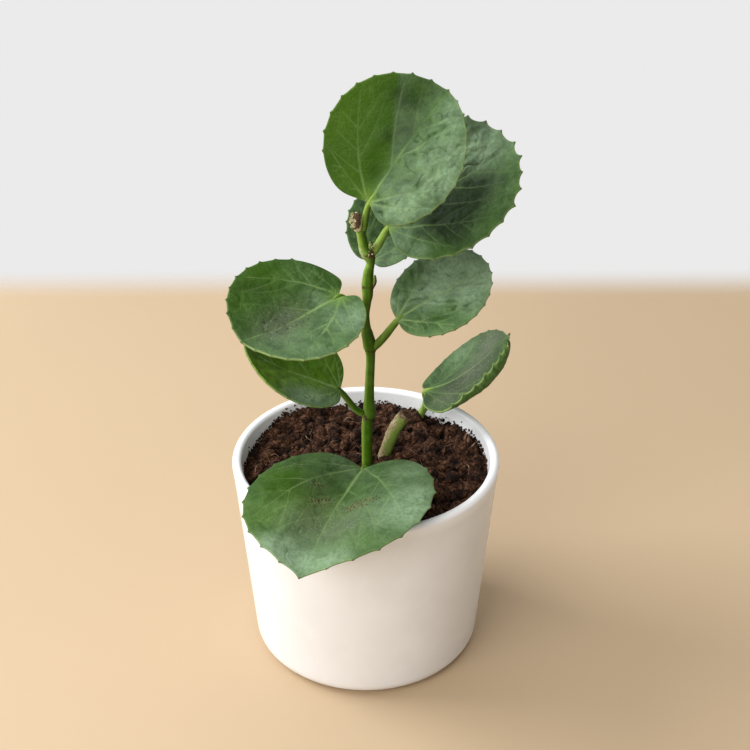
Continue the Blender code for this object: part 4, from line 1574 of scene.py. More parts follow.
@dataclass(frozen=True)
class Pot:
    """The tapered pot, turned finely, with the glaze missing under its foot."""

    floor: float = 0.005
    base_rounding: float = 0.007
    floor_rounding: float = 0.006
    sides: int = 192
    foot_inset: float = 0.0035
    # Steps of the rounded corner inside, the lip and the base edge
    arc_steps: tuple[int, int, int] = (8, 17, 12)
    # First and last height of the straight walls, and their number of rings
    inner_wall: tuple[float, float, int] = (0.02, 0.088, 8)
    outer_wall: tuple[float, float, int] = (0.09, 0.015, 10)

    def radius_at(self, height: float) -> float:
        """Outer radius of the straight wall at a height."""
        return BASE_RADIUS + (RIM_RADIUS - BASE_RADIUS) * height / POT_HEIGHT

    def arc(self, x: float, z: float, radius: float, first: float, last: float, steps: int) -> list:
        """Points along an arc, with its angles in degrees."""
        angles = np.radians(np.linspace(first, last, steps))
        return [(x + radius * math.cos(angle), z + radius * math.sin(angle)) for angle in angles]

    def profile(self) -> list[Pair]:
        """Half section, from the middle of the inner floor to the middle of the base.

        Returns:
            Points as radius and height.
        """
        lip = WALL / 2
        lean = math.degrees(math.atan2(RIM_RADIUS - BASE_RADIUS, POT_HEIGHT))
        shoulder = self.floor + self.floor_rounding
        edge = self.radius_at(shoulder) - WALL
        base = self.radius_at(self.base_rounding)
        corner, over_lip, edge_steps = self.arc_steps
        turn = self.base_rounding
        inner = self.arc(edge - self.floor_rounding, shoulder, self.floor_rounding, 270, 360 - lean, corner)
        over = self.arc(RIM_RADIUS - lip, POT_HEIGHT - lip, lip, 180 - lean, -lean, over_lip)
        outer = self.arc(base - turn, turn, turn, -lean, -90, edge_steps)
        inside = [(self.radius_at(z) - WALL, z) for z in np.linspace(*self.inner_wall)]
        outside = [(self.radius_at(z), z) for z in np.linspace(*self.outer_wall)]
        foot = [(base - turn - self.foot_inset, 0.0)]
        return [(0.0, self.floor), *inner, *inside, *over, *outside, *outer, *foot, (0.0, 0.0)]

    def build(self, glaze: Material) -> Piece:
        """Turn the profile.

        Args:
            glaze: The finish.

        Returns:
            The pot piece.
        """
        profile = self.profile()
        rings = [circle(radius, z, self.sides) for radius, z in profile[1:-1]]
        points = np.vstack([*rings, [[0, 0, profile[0][1]], [0, 0, 0]]])
        faces = [tuple(reversed(face)) for face in tube_faces(len(rings), self.sides)]
        reach = np.hypot(points[:, 0], points[:, 1])
        foot = smoothstep(0.0008, 0.0002, points[:, 2])
        foot = foot * smoothstep(BASE_RADIUS - 0.004, BASE_RADIUS - 0.007, reach)
        inside = reach < np.interp(points[:, 2], [0, POT_HEIGHT], [BASE_RADIUS, RIM_RADIUS]) - WALL * 0.6
        dust = inside * smoothstep(0.0965, 0.089, points[:, 2])
        # Where the painted light of the rim and inside falls
        lip = np.maximum(inside, smoothstep(0.09, 0.097, points[:, 2]))
        tissue = {"tissue": four_channels(foot, dust, lip)}
        return Form(points, faces, tissue).piece("pot_dressed", Slot.GLAZE, (glaze,), "pot")


# Strewn shapes


@dataclass(frozen=True)
class Scatter:
    """Geometry Nodes that strew small shapes over a surface, more where its "crowd" value is high."""

    density: float
    smallest: float
    largest: float
    tilt: float
    seed: int

    def tree(self) -> bpy.types.GeometryNodeTree:
        """Build the node tree.

        Returns:
            The tree, with named inputs for its sizes.
        """
        group = bpy.data.node_groups.new("strewn shapes", "GeometryNodeTree")
        inputs = {"Surface": "Geometry", "Shapes": "Collection", "Finish": "Material", "Density": "Float",
                  "Smallest": "Float", "Largest": "Float", "Tilt": "Float", "Seed": "Int"}
        for name, kind in inputs.items():
            group.interface.new_socket(name, in_out="INPUT", socket_type="NodeSocket" + kind)
        group.interface.new_socket("Pieces", in_out="OUTPUT", socket_type="NodeSocketGeometry")
        tree = Tree(group)
        given = {socket.name: Wire(tree, socket) for socket in group.nodes.new("NodeGroupInput").outputs}
        seed, tilt = given["Seed"], given["Tilt"]
        crowd = tree.node("GeometryNodeInputNamedAttribute", {"data_type": "FLOAT"}, {"Name": "crowd"})
        points = tree.node("GeometryNodeDistributePointsOnFaces", None,
                           {"Mesh": given["Surface"], "Density": given["Density"] * crowd, "Seed": seed})
        back = tilt * -1.0
        low = tree.node("ShaderNodeCombineXYZ", None, {"X": back, "Y": back})
        high = tree.node("ShaderNodeCombineXYZ", None, {"X": tilt, "Y": tilt, "Z": 2 * math.pi})
        turn = tree.node("FunctionNodeRandomValue", {"data_type": "FLOAT_VECTOR"},
                         {"Min": low, "Max": high, "Seed": seed})
        twist = tree.node("FunctionNodeEulerToRotation", None, {"Euler": turn})
        rotation = tree.node("FunctionNodeRotateRotation", {"rotation_space": "LOCAL"},
                             {"Rotation": points.beside("Rotation"), "Rotate By": twist})
        sizes = {"Min_001": given["Smallest"], "Max_001": given["Largest"], "Seed": seed}
        size = tree.node("FunctionNodeRandomValue", {"data_type": "FLOAT"}, sizes, "Value_001")
        shapes = tree.node("GeometryNodeCollectionInfo", None,
                           {"Collection": given["Shapes"], "Separate Children": True, "Reset Children": True})
        copies = tree.node("GeometryNodeInstanceOnPoints", None,
                           {"Points": points, "Instance": shapes, "Pick Instance": True, "Rotation": rotation,
                            "Scale": size})
        real = tree.node("GeometryNodeRealizeInstances", None, {"Geometry": copies})
        finish = tree.node("GeometryNodeSetMaterial", None, {"Geometry": real, "Material": given["Finish"]})
        tree.connect(group.nodes.new("NodeGroupOutput").inputs[0], finish)
        return group

    def over(self, name: str, surface: Form, crowd: Array, shapes: bpy.types.Collection,
             material: Material, slot: Slot) -> Piece:
        """Strew the shapes.

        Args:
            name: Name of the piece.
            surface: The surface that carries them.
            crowd: Share of the full density at each of its points.
            shapes: The shapes to choose from.
            material: Their finish.
            slot: The record's slot that the finish belongs to; not used.

        Returns:
            The strewn shapes as one piece.
        """
        mesh = surface.mesh(name)
        stored = mesh.attributes.new("crowd", "FLOAT", "POINT")
        stored.data.foreach_set("value", np.clip(crowd, 0, 1).astype(np.float32))
        host = bpy.data.objects.new(name + "_host", mesh)
        bpy.context.scene.collection.objects.link(host)
        tree = self.tree()
        step = host.modifiers.new("strewn shapes", "NODES")
        step.node_group = tree
        values = {"Shapes": shapes, "Finish": material, "Density": self.density, "Smallest": self.smallest,
                  "Largest": self.largest, "Tilt": self.tilt, "Seed": self.seed}
        for item in tree.interface.items_tree:
            if item.item_type == "SOCKET" and item.in_out == "INPUT" and item.name in values:
                step[item.identifier] = values[item.name]
        evaluated = host.evaluated_get(bpy.context.evaluated_depsgraph_get())
        result = bpy.data.meshes.new_from_object(evaluated)
        result.name = name
        host.modifiers.remove(step)
        bpy.data.objects.remove(host, do_unlink=True)
        result.shade_smooth()
        return settle(bpy.data.objects.new(name, result))


@dataclass(frozen=True)
class Shapes:
    """Small shapes to strew, kept in collections outside the scene, with how many of each kind."""

    seed: int = 3
    lumps: int = 6
    strands: int = 8
    bends: int = 5
    taper: float = 0.13
    scales: int = 6
    scale_rows: int = 5
    scale_columns: int = 4

    def gathered(self, name: str, forms: Sequence[Form]) -> bpy.types.Collection:
        """Put forms into a collection.

        Args:
            name: The collection's name.
            forms: The shapes.

        Returns:
            The collection.
        """
        made = bpy.data.collections.new(name)
        for number, form in enumerate(forms):
            label = f"{name}_{number}"
            made.objects.link(bpy.data.objects.new(label, form.mesh(label)))
        return made

    def crumbs(self, subdivisions: int) -> bpy.types.Collection:
        """Lumps about a metre across, to be scaled down.

        Args:
            subdivisions: Fineness of the icosphere.

        Returns:
            The collection.
        """
        noise = Noise(self.seed)
        forms = []
        for number in range(self.lumps):
            cage = bmesh.new()
            bmesh.ops.create_icosphere(cage, subdivisions=subdivisions, radius=0.5)
            points = np.array([vertex.co for vertex in cage.verts])
            faces = [tuple(vertex.index for vertex in face.verts) for face in cage.faces]
            cage.free()
            swell = 1 + 0.42 * noise.at(points + 3.0 * number, 0.55)
            squash = (1.0, 0.72 + 0.05 * number, 0.62 + 0.04 * number)
            forms.append(Form(points * swell[:, None] * squash, faces))
        return self.gathered(f"crumbs_{subdivisions}", forms)

    def fibres(self, name: str, reach: float, thickness: float, curl: float) -> bpy.types.Collection:
        """Thin bent strands about a metre long, to be scaled down.

        Args:
            name: The collection's name.
            reach: Height that the free end stands above the root, as a share of the length.
            thickness: Radius as a share of the length.
            curl: Turn from root to tip, in radians.

        Returns:
            The collection.
        """
        draw = np.random.default_rng(self.seed)
        forms = []
        for _ in range(self.strands):
            heading = np.array([1.0, 0.0, reach])
            turn = draw.uniform(-curl, curl, 2)
            place = np.zeros(3)
            keys = []
            sideways, upward = turn / self.bends
            c, s = math.cos(sideways), math.sin(sideways)
            for step in range(self.bends + 1):
                keys.append((*place, thickness * (1 - self.taper * step)))
                place = place + heading / np.linalg.norm(heading) / self.bends
                x, y, z = heading
                heading = np.array([x * c - y * s, x * s + y * c, z + upward])
            forms.append(Tube(keys, 3, 0.125).form())
        return self.gathered(name, forms)

    def flakes(self, name: str) -> bpy.types.Collection:
        """Small curled papery scales about a metre long, to be scaled down.

        Args:
            name: The collection's name.

        Returns:
            The collection.
        """
        draw = np.random.default_rng(self.seed + 1)
        rows, columns = self.scale_rows, self.scale_columns
        forms = []
        for _ in range(self.scales):
            bend, ruffle = draw.uniform(0.5, 1.3), draw.uniform(0.08, 0.2)
            upper = []
            for row in range(rows):
                t = row / (rows - 1)
                width = 0.38 * math.sin(math.pi * (0.18 + 0.72 * t))
                for column in range(columns):
                    s = column / (columns - 1) * 2 - 1
                    lift = ruffle * math.sin(5 * t + 4 * s)
                    angle = bend * t
                    back, up = 0.8 * math.sin(angle) + lift * 0.4, t * math.cos(angle * 0.5) + lift * 0.3
                    upper.append((width * s, back, up))
            points = np.array(upper)
            lower = points + (0.0, 0.05, -0.02)
            faces = []
            for row in range(rows - 1):
                for column in range(columns - 1):
                    a = row * columns + column
                    quad = (a, a + 1, a + columns + 1, a + columns)
                    faces.append(quad)
                    faces.append(tuple(corner + rows * columns for corner in reversed(quad)))
            ring = ([*range(columns)] + [row * columns + columns - 1 for row in range(1, rows)]
                    + [(rows - 1) * columns + column for column in range(columns - 2, -1, -1)]
                    + [row * columns for row in range(rows - 2, 0, -1)])
            for a, b in zip(ring, ring[1:] + ring[:1]):
                faces.append((b, a, a + rows * columns, b + rows * columns))
            forms.append(Form(np.vstack([points, lower]), faces))
        return self.gathered(name, forms)


# Soil


@dataclass(frozen=True)
class Soil:
    """Coir soil: a rough crust up to the pot's wall, with clods, crumbs and fibres strewn on it."""

    cells: int = 210
    mound: float = 0.001
    low: float = 0.0053
    foot_radius: float = 0.0462
    shoulder: float = 0.0113
    clearance: float = 0.0003
    crust_clearance: float = 0.0001
    seed: int = 21
    stem_at: Pair = (0.0006, 0.0)
    # Where the stump and the lone petiole push the soil up
    collars: tuple[Pair, ...] = ((0.0086, 0.0108), (0.025, 0.042))
    collar_size: float = 0.0055
    clod_height: float = 0.0026
    crumb_height: float = 0.0013
    pit_depth: float = 0.0085
    # Where soil is heaped against the wall: bearing and spread in degrees, and height in metres
    heaps: tuple[Triple, ...] = ((130, 18, 0.004), (84, 14, 0.0016), (25, 16, 0.0018))
    # Long pale strands that lie on top, as points in millimetres
    strands: tuple[tuple[Pair, ...], ...] = (
        ((-28.2, 30.3), (-27.8, 25.5), (-24.6, 20.5), (-22.0, 20.0)),
        ((-45.7, 8.2), (-41.7, 9.8), (-37.9, 8.1)), ((45.0, 3.5), (46.5, -3.2), (45.2, -9.4)),
        ((28.4, -4.6), (33.4, -3.9), (36.9, -6.3), (38.4, -9.5)),
        ((24.2, 33.5), (27.6, 31.7), (28.8, 26.3)), ((-50.0, -5.6), (-49.0, -1.4), (-45.1, 1.5)),
        ((-12.0, 38.0), (-9.0, 41.0), (-4.5, 41.5)), ((30.0, 18.0), (34.0, 20.5), (35.5, 25.5)),
        ((12.0, -22.0), (17.0, -24.0), (21.0, -21.5)), ((-20.0, -26.0), (-15.0, -29.0), (-9.0, -28.0)))
    # Dark splinters that stand against the wall: foot and tip in metres
    splinters: tuple[tuple[Point, Point], ...] = (
        ((0.0474, 0.019, 0.0885), (0.0491, 0.0176, 0.0985)),
        ((0.0462, 0.0215, 0.0885), (0.0474, 0.0214, 0.095)),
        ((0.0488, 0.015, 0.0885), (0.0503, 0.0128, 0.0945)))

    def heap(self, x: Array, y: Array) -> Array:
        """Height of the soil heaped against the wall at each bearing."""
        bearing = np.degrees(np.arctan2(y, x))
        return sum(height * bell(bearing - at, spread) for at, spread, height in self.heaps)

    def height(self, x: Array, y: Array) -> Array:
        """Height of the crust.

        Args:
            x: Places in metres.
            y: Places in metres.

        Returns:
            Heights above the floor.
        """
        noise = Noise(self.seed)
        points = np.stack([x, y, 0 * x], 1)
        reach = np.hypot(x, y) / RIM_RADIUS
        clods = noise.layered(points, 0.009, 3)
        crumbs = 1 - 2.2 * np.abs(noise.layered(points + 0.03, 0.0038, 3))
        pits = np.clip(-noise.layered(points + 0.07, 0.006, 2) - 0.2, 0, 1)
        line = smoothstep(0.78, 0.9, reach)
        gaps = [(x - cx) ** 2 + (y - cy) ** 2 for cx, cy in self.collars]
        collar = sum(np.exp(-(gap / self.collar_size**2)) for gap in gaps)
        rim = 0.0013 * noise.layered(points + 0.11, 0.01, 3) + self.heap(x, y)
        return (SOIL_LEVEL + self.mound * (1 - reach**2) + self.clod_height * clods
                + self.crumb_height * crumbs - self.pit_depth * pits + line * rim + 0.001 * collar)

    def crust(self) -> Form:
        """The crust with the plug below it.

        Returns:
            The closed plug.
        """
        share, angle = disc_grid(self.cells)
        wall = Pot().radius_at(SOIL_LEVEL + 0.001) - WALL - self.crust_clearance
        x, y = wall * share * np.sin(angle), wall * share * np.cos(angle)
        points = np.stack([x, y, self.height(x, y)], 1)
        index = np.arange(len(points)).reshape(self.cells + 1, self.cells + 1)
        faces = square_faces(self.cells)
        edge = np.array([*index[0, :-1], *index[:-1, -1], *index[-1, :0:-1], *index[:0:-1, 0]])
        outward = points[edge][:, :2] / np.linalg.norm(points[edge][:, :2], axis=1)[:, None]
        rings = [points]
        for radius, height in ((Pot().radius_at(self.shoulder) - WALL - self.clearance, self.shoulder),
                               (self.foot_radius, self.low)):
            below = sum(len(ring) for ring in rings) + np.arange(len(edge))
            rings.append(np.column_stack([outward * radius, np.full(len(edge), height)]))
            faces += faces_of(np.roll(edge, -1), edge, below, np.roll(below, -1))
            edge = below
        faces += faces_of(np.roll(edge, -1), edge, np.full(len(edge), edge[-1] + 1))
        return Form(np.vstack([*rings, [[0.0, 0.0, self.low]]]), faces)

    def lying(self) -> Form:
        """The long strands and the splinters.

        Returns:
            All of them as one form.
        """
        tubes = []
        for number, strand in enumerate(self.strands):
            x, y = np.array(strand).T / 1000
            arch = 0.0022 * np.sin(np.linspace(0.2, 2.9, len(x))) - 0.0004
            keys = np.column_stack([x, y, self.height(x, y) + arch, 0.00017 + 0.00002 * (number % 3) + 0 * x])
            tubes.append(Tube(keys, 6, 0.0005).form())
        for foot, tip in self.splinters:
            middle = (0.5 * (foot[0] + tip[0]) - 0.0006, 0.5 * (foot[1] + tip[1]), 0.5 * (foot[2] + tip[2]))
            tubes.append(Tube(((*foot, 0.0007), (*middle, 0.0005), (*tip, 0.00012)), 6, 0.0006).form())
        whole = tubes[0]
        for tube in tubes[1:]:
            whole = whole.joined(tube)
            whole.slots = None
        return whole

    def build(self, coir: Material, fibre: Material) -> list[Piece]:
        """Build the soil and what lies on it.

        Args:
            coir: Finish of the crust and crumbs.
            fibre: Finish of the strands.

        Returns:
            The soil's pieces.
        """
        crust = self.crust()
        top = Form(crust.points[:(self.cells + 1) ** 2], crust.faces[:self.cells**2])
        x, y = top.points[:, 0], top.points[:, 1]
        reach = np.hypot(x, y)
        from_stem = np.hypot(x - self.stem_at[0], y - self.stem_at[1])
        clear = smoothstep(0.0532, 0.0505, reach) * smoothstep(0.003, 0.005, from_stem)
        roomy = smoothstep(0.052, 0.048, reach) * smoothstep(0.004, 0.007, from_stem)
        anywhere = smoothstep(0.054, 0.0525, reach)
        inland = clear * smoothstep(0.048, 0.04, reach)
        shapes = Shapes()
        pieces = [crust.piece("soil_crust", Slot.SOIL, (coir,), "soil")]
        # Name, density, smallest and largest size, tilt, seed, where, shapes and finish
        for name, *sizes, crowd, kinds, finish in (
                ("soil_clods", 21000, 0.0034, 0.0078, 0.5, 10, roomy, shapes.crumbs(2), coir),
                ("soil_crumbs", 135000, 0.0012, 0.003, 0.9, 11, clear, shapes.crumbs(2), coir),
                ("soil_grit", 300000, 0.0005, 0.0012, 0.9, 12, anywhere, shapes.crumbs(1), coir),
                ("soil_fibres", 60000, 0.003, 0.0075, 0.5, 13, inland,
                 shapes.fibres("strands", 0.35, 0.021, 1.8), fibre)):
            pieces.append(Scatter(*sizes).over(name, top, crowd, kinds, finish, Slot.SOIL))
        return [*pieces, self.lying().piece("soil_strands", Slot.SOIL, (fibre,))]


@dataclass(frozen=True)
class WallDirt:
    """Soil that sticks to the inside of the pot above the soil line."""

    low: float = 0.087
    high: float = 0.0962
    rows: int = 14
    sides: int = 160
    seed: int = 33
    line: float = 0.0022

    def build(self, coir: Material) -> Piece:
        """Strew the specks.

        Args:
            coir: The soil's finish.

        Returns:
            The specks.
        """
        points = np.vstack([circle(Pot().radius_at(height) - WALL - 0.00005, height, self.sides)
                            for height in np.linspace(self.low, self.high, self.rows)])
        index = np.arange(len(points)).reshape(self.rows, self.sides)
        after = np.roll(index, -1, axis=1)
        surface = Form(points, faces_of(index[:-1], index[1:], after[1:], after[:-1]))
        drift = Noise(self.seed).layered(points, 0.005, 3)
        line = self.line + 1.1 * Soil().heap(points[:, 0], points[:, 1]) + self.line * drift
        above = points[:, 2] - self.low - line
        crowd = smoothstep(0.0008, -0.0006, above) + 0.05 * smoothstep(0.0032, 0.0, above)
        strew = Scatter(density=1900000, smallest=0.00035, largest=0.0015, tilt=0.9, seed=14)
        return strew.over("wall_dirt", surface, crowd, Shapes(5).crumbs(1), coir, Slot.SOIL)


# Stem, buds, stump and dried tip


class Mark(Enum):
    """Kinds of mark on the stem."""

    SCAR = "scar"
    CRUST = "crust"


@dataclass(frozen=True)
class StemMark:
    """A mark on the stem: its kind, place, size and strength."""

    kind: Mark
    at: Point
    size: float
    amount: float = 1.0


@dataclass(frozen=True)
class Stem:
    """The green stem with its swollen, scarred nodes and two small buds."""

    sides: int = 64
    spacing: float = 0.0004
    seed: int = 41
    bud_sides: int = 20
    bud_spacing: float = 0.00025
    # The ring scars: width, depth, the swelling above them, and how far and how often they wave
    ring_width: float = 0.00035
    ring_depth: float = 0.00022
    ring_swell: float = 0.00012
    wave: float = 0.00022
    wave_size: float = 0.0022
    keys: Keys = (
        (0.0005, 0.0, 0.064, 0.0022), (0.0006, 0.0, 0.09, 0.0024), (0.0006, 0.0, 0.11, 0.00245),
        (0.0008, 0.0, 0.1145, 0.0024), (0.001, 0.0, 0.116, 0.0024), (0.0015, 0.0, 0.1174, 0.003),
        (0.0017, 0.0, 0.12, 0.00285), (0.0015, 0.0, 0.125, 0.0023), (0.0018, 0.0, 0.135, 0.00205),
        (0.0022, 0.0, 0.1455, 0.002), (0.0021, 0.0, 0.149, 0.0022), (0.002, 0.0, 0.1513, 0.0027),
        (0.0015, 0.0, 0.1547, 0.0028), (0.0007, 0.0, 0.1587, 0.0025), (0.0004, 0.0, 0.1625, 0.0018),
        (0.0003, 0.0, 0.168, 0.00155), (0.0007, 0.0, 0.1735, 0.0019), (0.001, 0.0, 0.177, 0.0023),
        (0.001, 0.0, 0.182, 0.0025), (0.0014, 0.0, 0.1875, 0.0021), (0.0021, 0.0, 0.1905, 0.0018),
        (0.0023, 0.0, 0.1922, 0.00185), (0.0018, 0.0, 0.1945, 0.00255), (0.0006, 0.0, 0.1968, 0.00275),
        (-0.0006, 0.0, 0.1998, 0.0022), (-0.0013, 0.0, 0.2032, 0.00195), (-0.0019, 0.0, 0.2063, 0.0018))
    buds: tuple[Keys, ...] = (
        ((0.0028, -0.0003, 0.1805, 0.0009), (0.004, -0.0004, 0.1832, 0.0009),
         (0.0041, -0.0004, 0.1862, 0.0004)),
        ((0.0019, -0.0004, 0.1975, 0.0011), (0.0024, -0.0008, 0.1998, 0.0011),
         (0.0024, -0.0009, 0.202, 0.0005)))
    rings: tuple[Pair, ...] = ((0.1164, 1.15), (0.1508, 1.1), (0.1812, 0.8), (0.196, 1.0))
    marks: tuple[StemMark, ...] = (
        StemMark(Mark.SCAR, (-0.0012, -0.0022, 0.1172), 0.0013, 1.3),
        StemMark(Mark.CRUST, (-0.0014, -0.002, 0.1166), 0.0006, 0.7),
        StemMark(Mark.SCAR, (0.0046, -0.001, 0.1503), 0.001),
        StemMark(Mark.SCAR, (-0.0014, -0.0018, 0.1812), 0.0008, 0.8),
        StemMark(Mark.SCAR, (0.004, -0.0012, 0.1808), 0.0012),
        StemMark(Mark.SCAR, (0.004, -0.0018, 0.1963), 0.0012),
        StemMark(Mark.SCAR, (0.0022, -0.0022, 0.1963), 0.0009),
        StemMark(Mark.CRUST, (-0.0018, -0.002, 0.1958), 0.001),
        StemMark(Mark.CRUST, (-0.0026, -0.0012, 0.1985), 0.001, 0.8),
        StemMark(Mark.CRUST, (-0.0024, -0.0014, 0.1812), 0.0006, 0.7))

    def above(self, points: Array, height: float, noise: Noise) -> Array:
        """How far points are above a ring scar, which waves a little."""
        return points[:, 2] - height - self.wave * noise.at(points * (1.0, 1.0, 0.0), self.wave_size)

    def relief(self, noise: Noise) -> Callable[[Array], Array]:
        """Relief of the skin.

        Args:
            noise: The stem's noise.

        Returns:
            A function from smooth points to heights.
        """
        def height(points: Array) -> Array:
            """Stripes, ring scars and marks."""
            total = 0.00007 * noise.layered(points * (1.0, 1.0, 0.12), 0.0011, 3)
            total += 0.00008 * noise.layered(points, 0.003, 2)
            for z, amount in self.rings:
                gap = self.above(points, z, noise)
                total -= amount * self.ring_depth * bell(gap, self.ring_width)
                total += amount * self.ring_swell * bell(gap - 0.0008, 0.0006)
            for mark in self.marks:
                near = bell(np.linalg.norm(points - mark.at, axis=1), mark.size)
                total += mark.amount * near * (0.00012 + 0.00025 * noise.layered(points, 0.0008, 2))
            return total
        return height

    def tint(self, noise: Noise) -> Callable[[Array, Array], Array]:
        """Colours of the skin.

        Args:
            noise: The stem's noise.

        Returns:
            A function from smooth points and outward directions to four channels.
        """
        def channels(points: Array, outward: Array) -> Array:
            """Scars, painted light on the left side, painted shade on the right side, and pale crust."""
            grain = noise.layered(points, 0.0012, 3)
            strength = {kind: np.zeros(len(points)) for kind in Mark}
            for z, amount in self.rings:
                ring = bell(self.above(points, z, noise), self.ring_width)
                strength[Mark.SCAR] += 0.95 * amount * ring * (0.8 + grain)
            for mark in self.marks:
                near = bell(np.linalg.norm(points - mark.at, axis=1), mark.size) * (2.2 + 2.5 * grain)
                strength[mark.kind] += mark.amount * near
            fork = smoothstep(0.186, 0.196, points[:, 2])
            # Painted light on the left side, stronger above the fork
            lit = -0.28 - 0.95 * outward[:, 0] + 0.08 * grain + 0.6 * fork
            return four_channels(strength[Mark.SCAR], lit, 0.95 * outward[:, 0] - 0.1, strength[Mark.CRUST])
        return channels

    def build(self, skin: Material) -> Piece:
        """Build the stem with its buds.

        Args:
            skin: The finish.

        Returns:
            The stem piece.
        """
        noise = Noise(self.seed)
        form = Tube(self.keys, self.sides, self.spacing).form(self.relief(noise), self.tint(noise))
        for keys in self.buds:
            # Buds: browner towards the right, with painted light on the left
            bud = Tube(keys, self.bud_sides, self.bud_spacing).form(
                lambda points: 0.00014 * noise.layered(points * (1, 1, 0.5), 0.0009, 3),
                lambda _, outward: four_channels(0.55 + 0.8 * outward[:, 0], 0.3 - outward[:, 0]))
            form = form.joined(bud)
            form.slots = [0] * len(form.faces)
        return form.piece("stem_dressed", Slot.STEM, (skin,), "stem")

    def bits(self, dried: Material) -> Piece:
        """Papery stipule remains in the fork under the top leaf.

        Args:
            dried: The dried finish.

        Returns:
            The remains.
        """
        host = Tube(((0.0016, -0.0022, 0.1966, 0.0006), (0.0022, -0.0022, 0.1978, 0.0009),
                     (0.0023, -0.002, 0.1996, 0.0008), (0.0022, -0.0018, 0.201, 0.0003)), 16, 0.0003).form()
        strew = Scatter(density=1300000, smallest=0.0004, largest=0.0009, tilt=0.9, seed=51)
        everywhere = np.ones(len(host.points))
        return strew.over("stipule_bits", host, everywhere, Shapes(9).flakes("stipules"), dried, Slot.DRIED)


@dataclass(frozen=True)
class Stump:
    """The old cut shoot: flaking bark on its left and front, green behind, frayed at the end."""

    keys: Keys = (
        (0.004, 0.0108, 0.073, 0.0027), (0.0083, 0.0108, 0.0884, 0.0027), (0.0108, 0.0109, 0.0962, 0.0029),
        (0.0133, 0.011, 0.103, 0.003), (0.0163, 0.011, 0.1082, 0.003), (0.0186, 0.011, 0.111, 0.0029))
    weathered: Point = (-0.93, -0.2, 0.3)
    sides: int = 56
    spacing: float = 0.0004
    seed: int = 61

    def build(self, bark: Material, fray: Material) -> list[Piece]:
        """Build the stump.

        Args:
            bark: Its finish.
            fray: Finish of the frayed end.

        Returns:
            The stump and its frayed fibres.
        """
        noise = Noise(self.seed)
        tube = Tube(self.keys, self.sides, self.spacing)
        end = tube.axis[-1]
        ahead = tube.ahead[-1]
        side = np.array(self.weathered) / np.linalg.norm(self.weathered)

        def barky(points: Array, outward: Array) -> Array:
            """Share of bark, which covers the weathered side."""
            edge = 0.4 * noise.layered(points, 0.0024, 3)
            return smoothstep(0.36, 0.92, outward @ side + edge)

        directions = tube.outward().reshape(-1, 3)

        def relief(points: Array) -> Array:
            """Strips of bark, and a ragged end."""
            cover = barky(points, directions)
            strips = noise.layered(points * (1.0, 1.0, 0.35), 0.0011, 3)
            ragged = smoothstep(0.0026, 0.0, (end - points) @ ahead)
            rough = cover * (0.00008 + 0.00035 * strips) + 0.00005 * strips
            return rough + ragged * (0.0001 + 0.0009 * strips)

        def tint(points: Array, outward: Array) -> Array:
            """Bark, pith, and painted shade on the side away from the light."""
            cover = barky(points, outward)
            depth = (end - points) @ ahead + 0.0012 * noise.layered(points, 0.0012, 2)
            pith = smoothstep(0.003, 0.0014, depth)
            away = 1.1 * outward[:, 0] - 0.15 + 0.3 * noise.layered(points, 0.002, 2)
            return four_channels(cover, pith, away)

        form = tube.form(relief, tint)
        form.tints["tissue"][-1] = (0.0, 1.0, 0.0, 0.0)
        form.points[-1] = end - 0.0012 * ahead
        stump = form.piece("stump_dressed", Slot.BARK, (bark,), "stump")
        ring = Tube(((*(end - 0.0009 * ahead), 0.0026), (*(end - 0.0003 * ahead), 0.0026), (*end, 0.0022),
                     (*(end + 0.0002 * ahead), 0.0012)), 24, 0.0003).form()
        strands = Shapes(17).fibres("frays", 1.2, 0.085, 1.6)
        strew = Scatter(density=3800000, smallest=0.0007, largest=0.0019, tilt=0.9, seed=62)
        return [stump, strew.over("stump_fray", ring, np.ones(len(ring.points)), strands, fray, Slot.BARK)]


@dataclass(frozen=True)
class DriedTip:
    """The withered end of the shoot: a crumpled dark core in pale papery scales."""

    keys: Keys = (
        (-0.0027, -0.0009, 0.2068, 0.001), (-0.0031, -0.0011, 0.208, 0.0017),
        (-0.0035, -0.0012, 0.2102, 0.0021), (-0.0036, -0.0012, 0.2125, 0.0021),
        (-0.0033, -0.0011, 0.2148, 0.0014))
    hollow_at: Point = (-0.002, -0.0028, 0.2126)
    hollow_size: Triple = (2.5, 3.4, 3.3)
    sides: int = 56
    spacing: float = 0.00018
    seed: int = 71

    def build(self, dried: Material, papery: Material) -> list[Piece]:
        """Build the tip.

        Args:
            dried: Finish of the core.
            papery: Finish of the scales.

        Returns:
            The core and its scales.
        """
        noise = Noise(self.seed)

        def relief(points: Array) -> Array:
            """Crumpled folds."""
            folds = 1 - 2.4 * np.abs(noise.layered(points, 0.0022, 3))
            return 0.00055 * folds - 0.0004

        def pale(points: Array) -> Array:
            """Share of pale paper, with a dark hollow in front."""
            gap = (points - self.hollow_at) / self.hollow_size
            hollow = np.exp(-((np.linalg.norm(gap, axis=1) / 0.001) ** 4))
            return np.clip(0.85 - 1.2 * hollow + 1.8 * noise.layered(points, 0.0012, 2), 0, 1)

        def tint(points: Array, _: Array) -> Array:
            """The pale share alone."""
            return four_channels(pale(points))

        core = Tube(self.keys, self.sides, self.spacing).form(relief, tint)
        x, _, z = core.points.T
        outer = np.maximum(smoothstep(-0.0032, -0.0046, x), 0.8 * smoothstep(0.2128, 0.2145, z))
        fringe = smoothstep(0.35, 0.8, pale(core.points)) * outer * smoothstep(0.2075, 0.209, z)
        tip = core.piece("dried_tip_dressed", Slot.DRIED, (dried,), "dried_tip")
        strew = Scatter(density=2600000, smallest=0.0005, largest=0.0013, tilt=0.8, seed=72)
        scales = Shapes(19).flakes("scales")
        return [tip, strew.over("dried_tip_scales", core, fringe, scales, papery, Slot.DRIED)]


# Studio


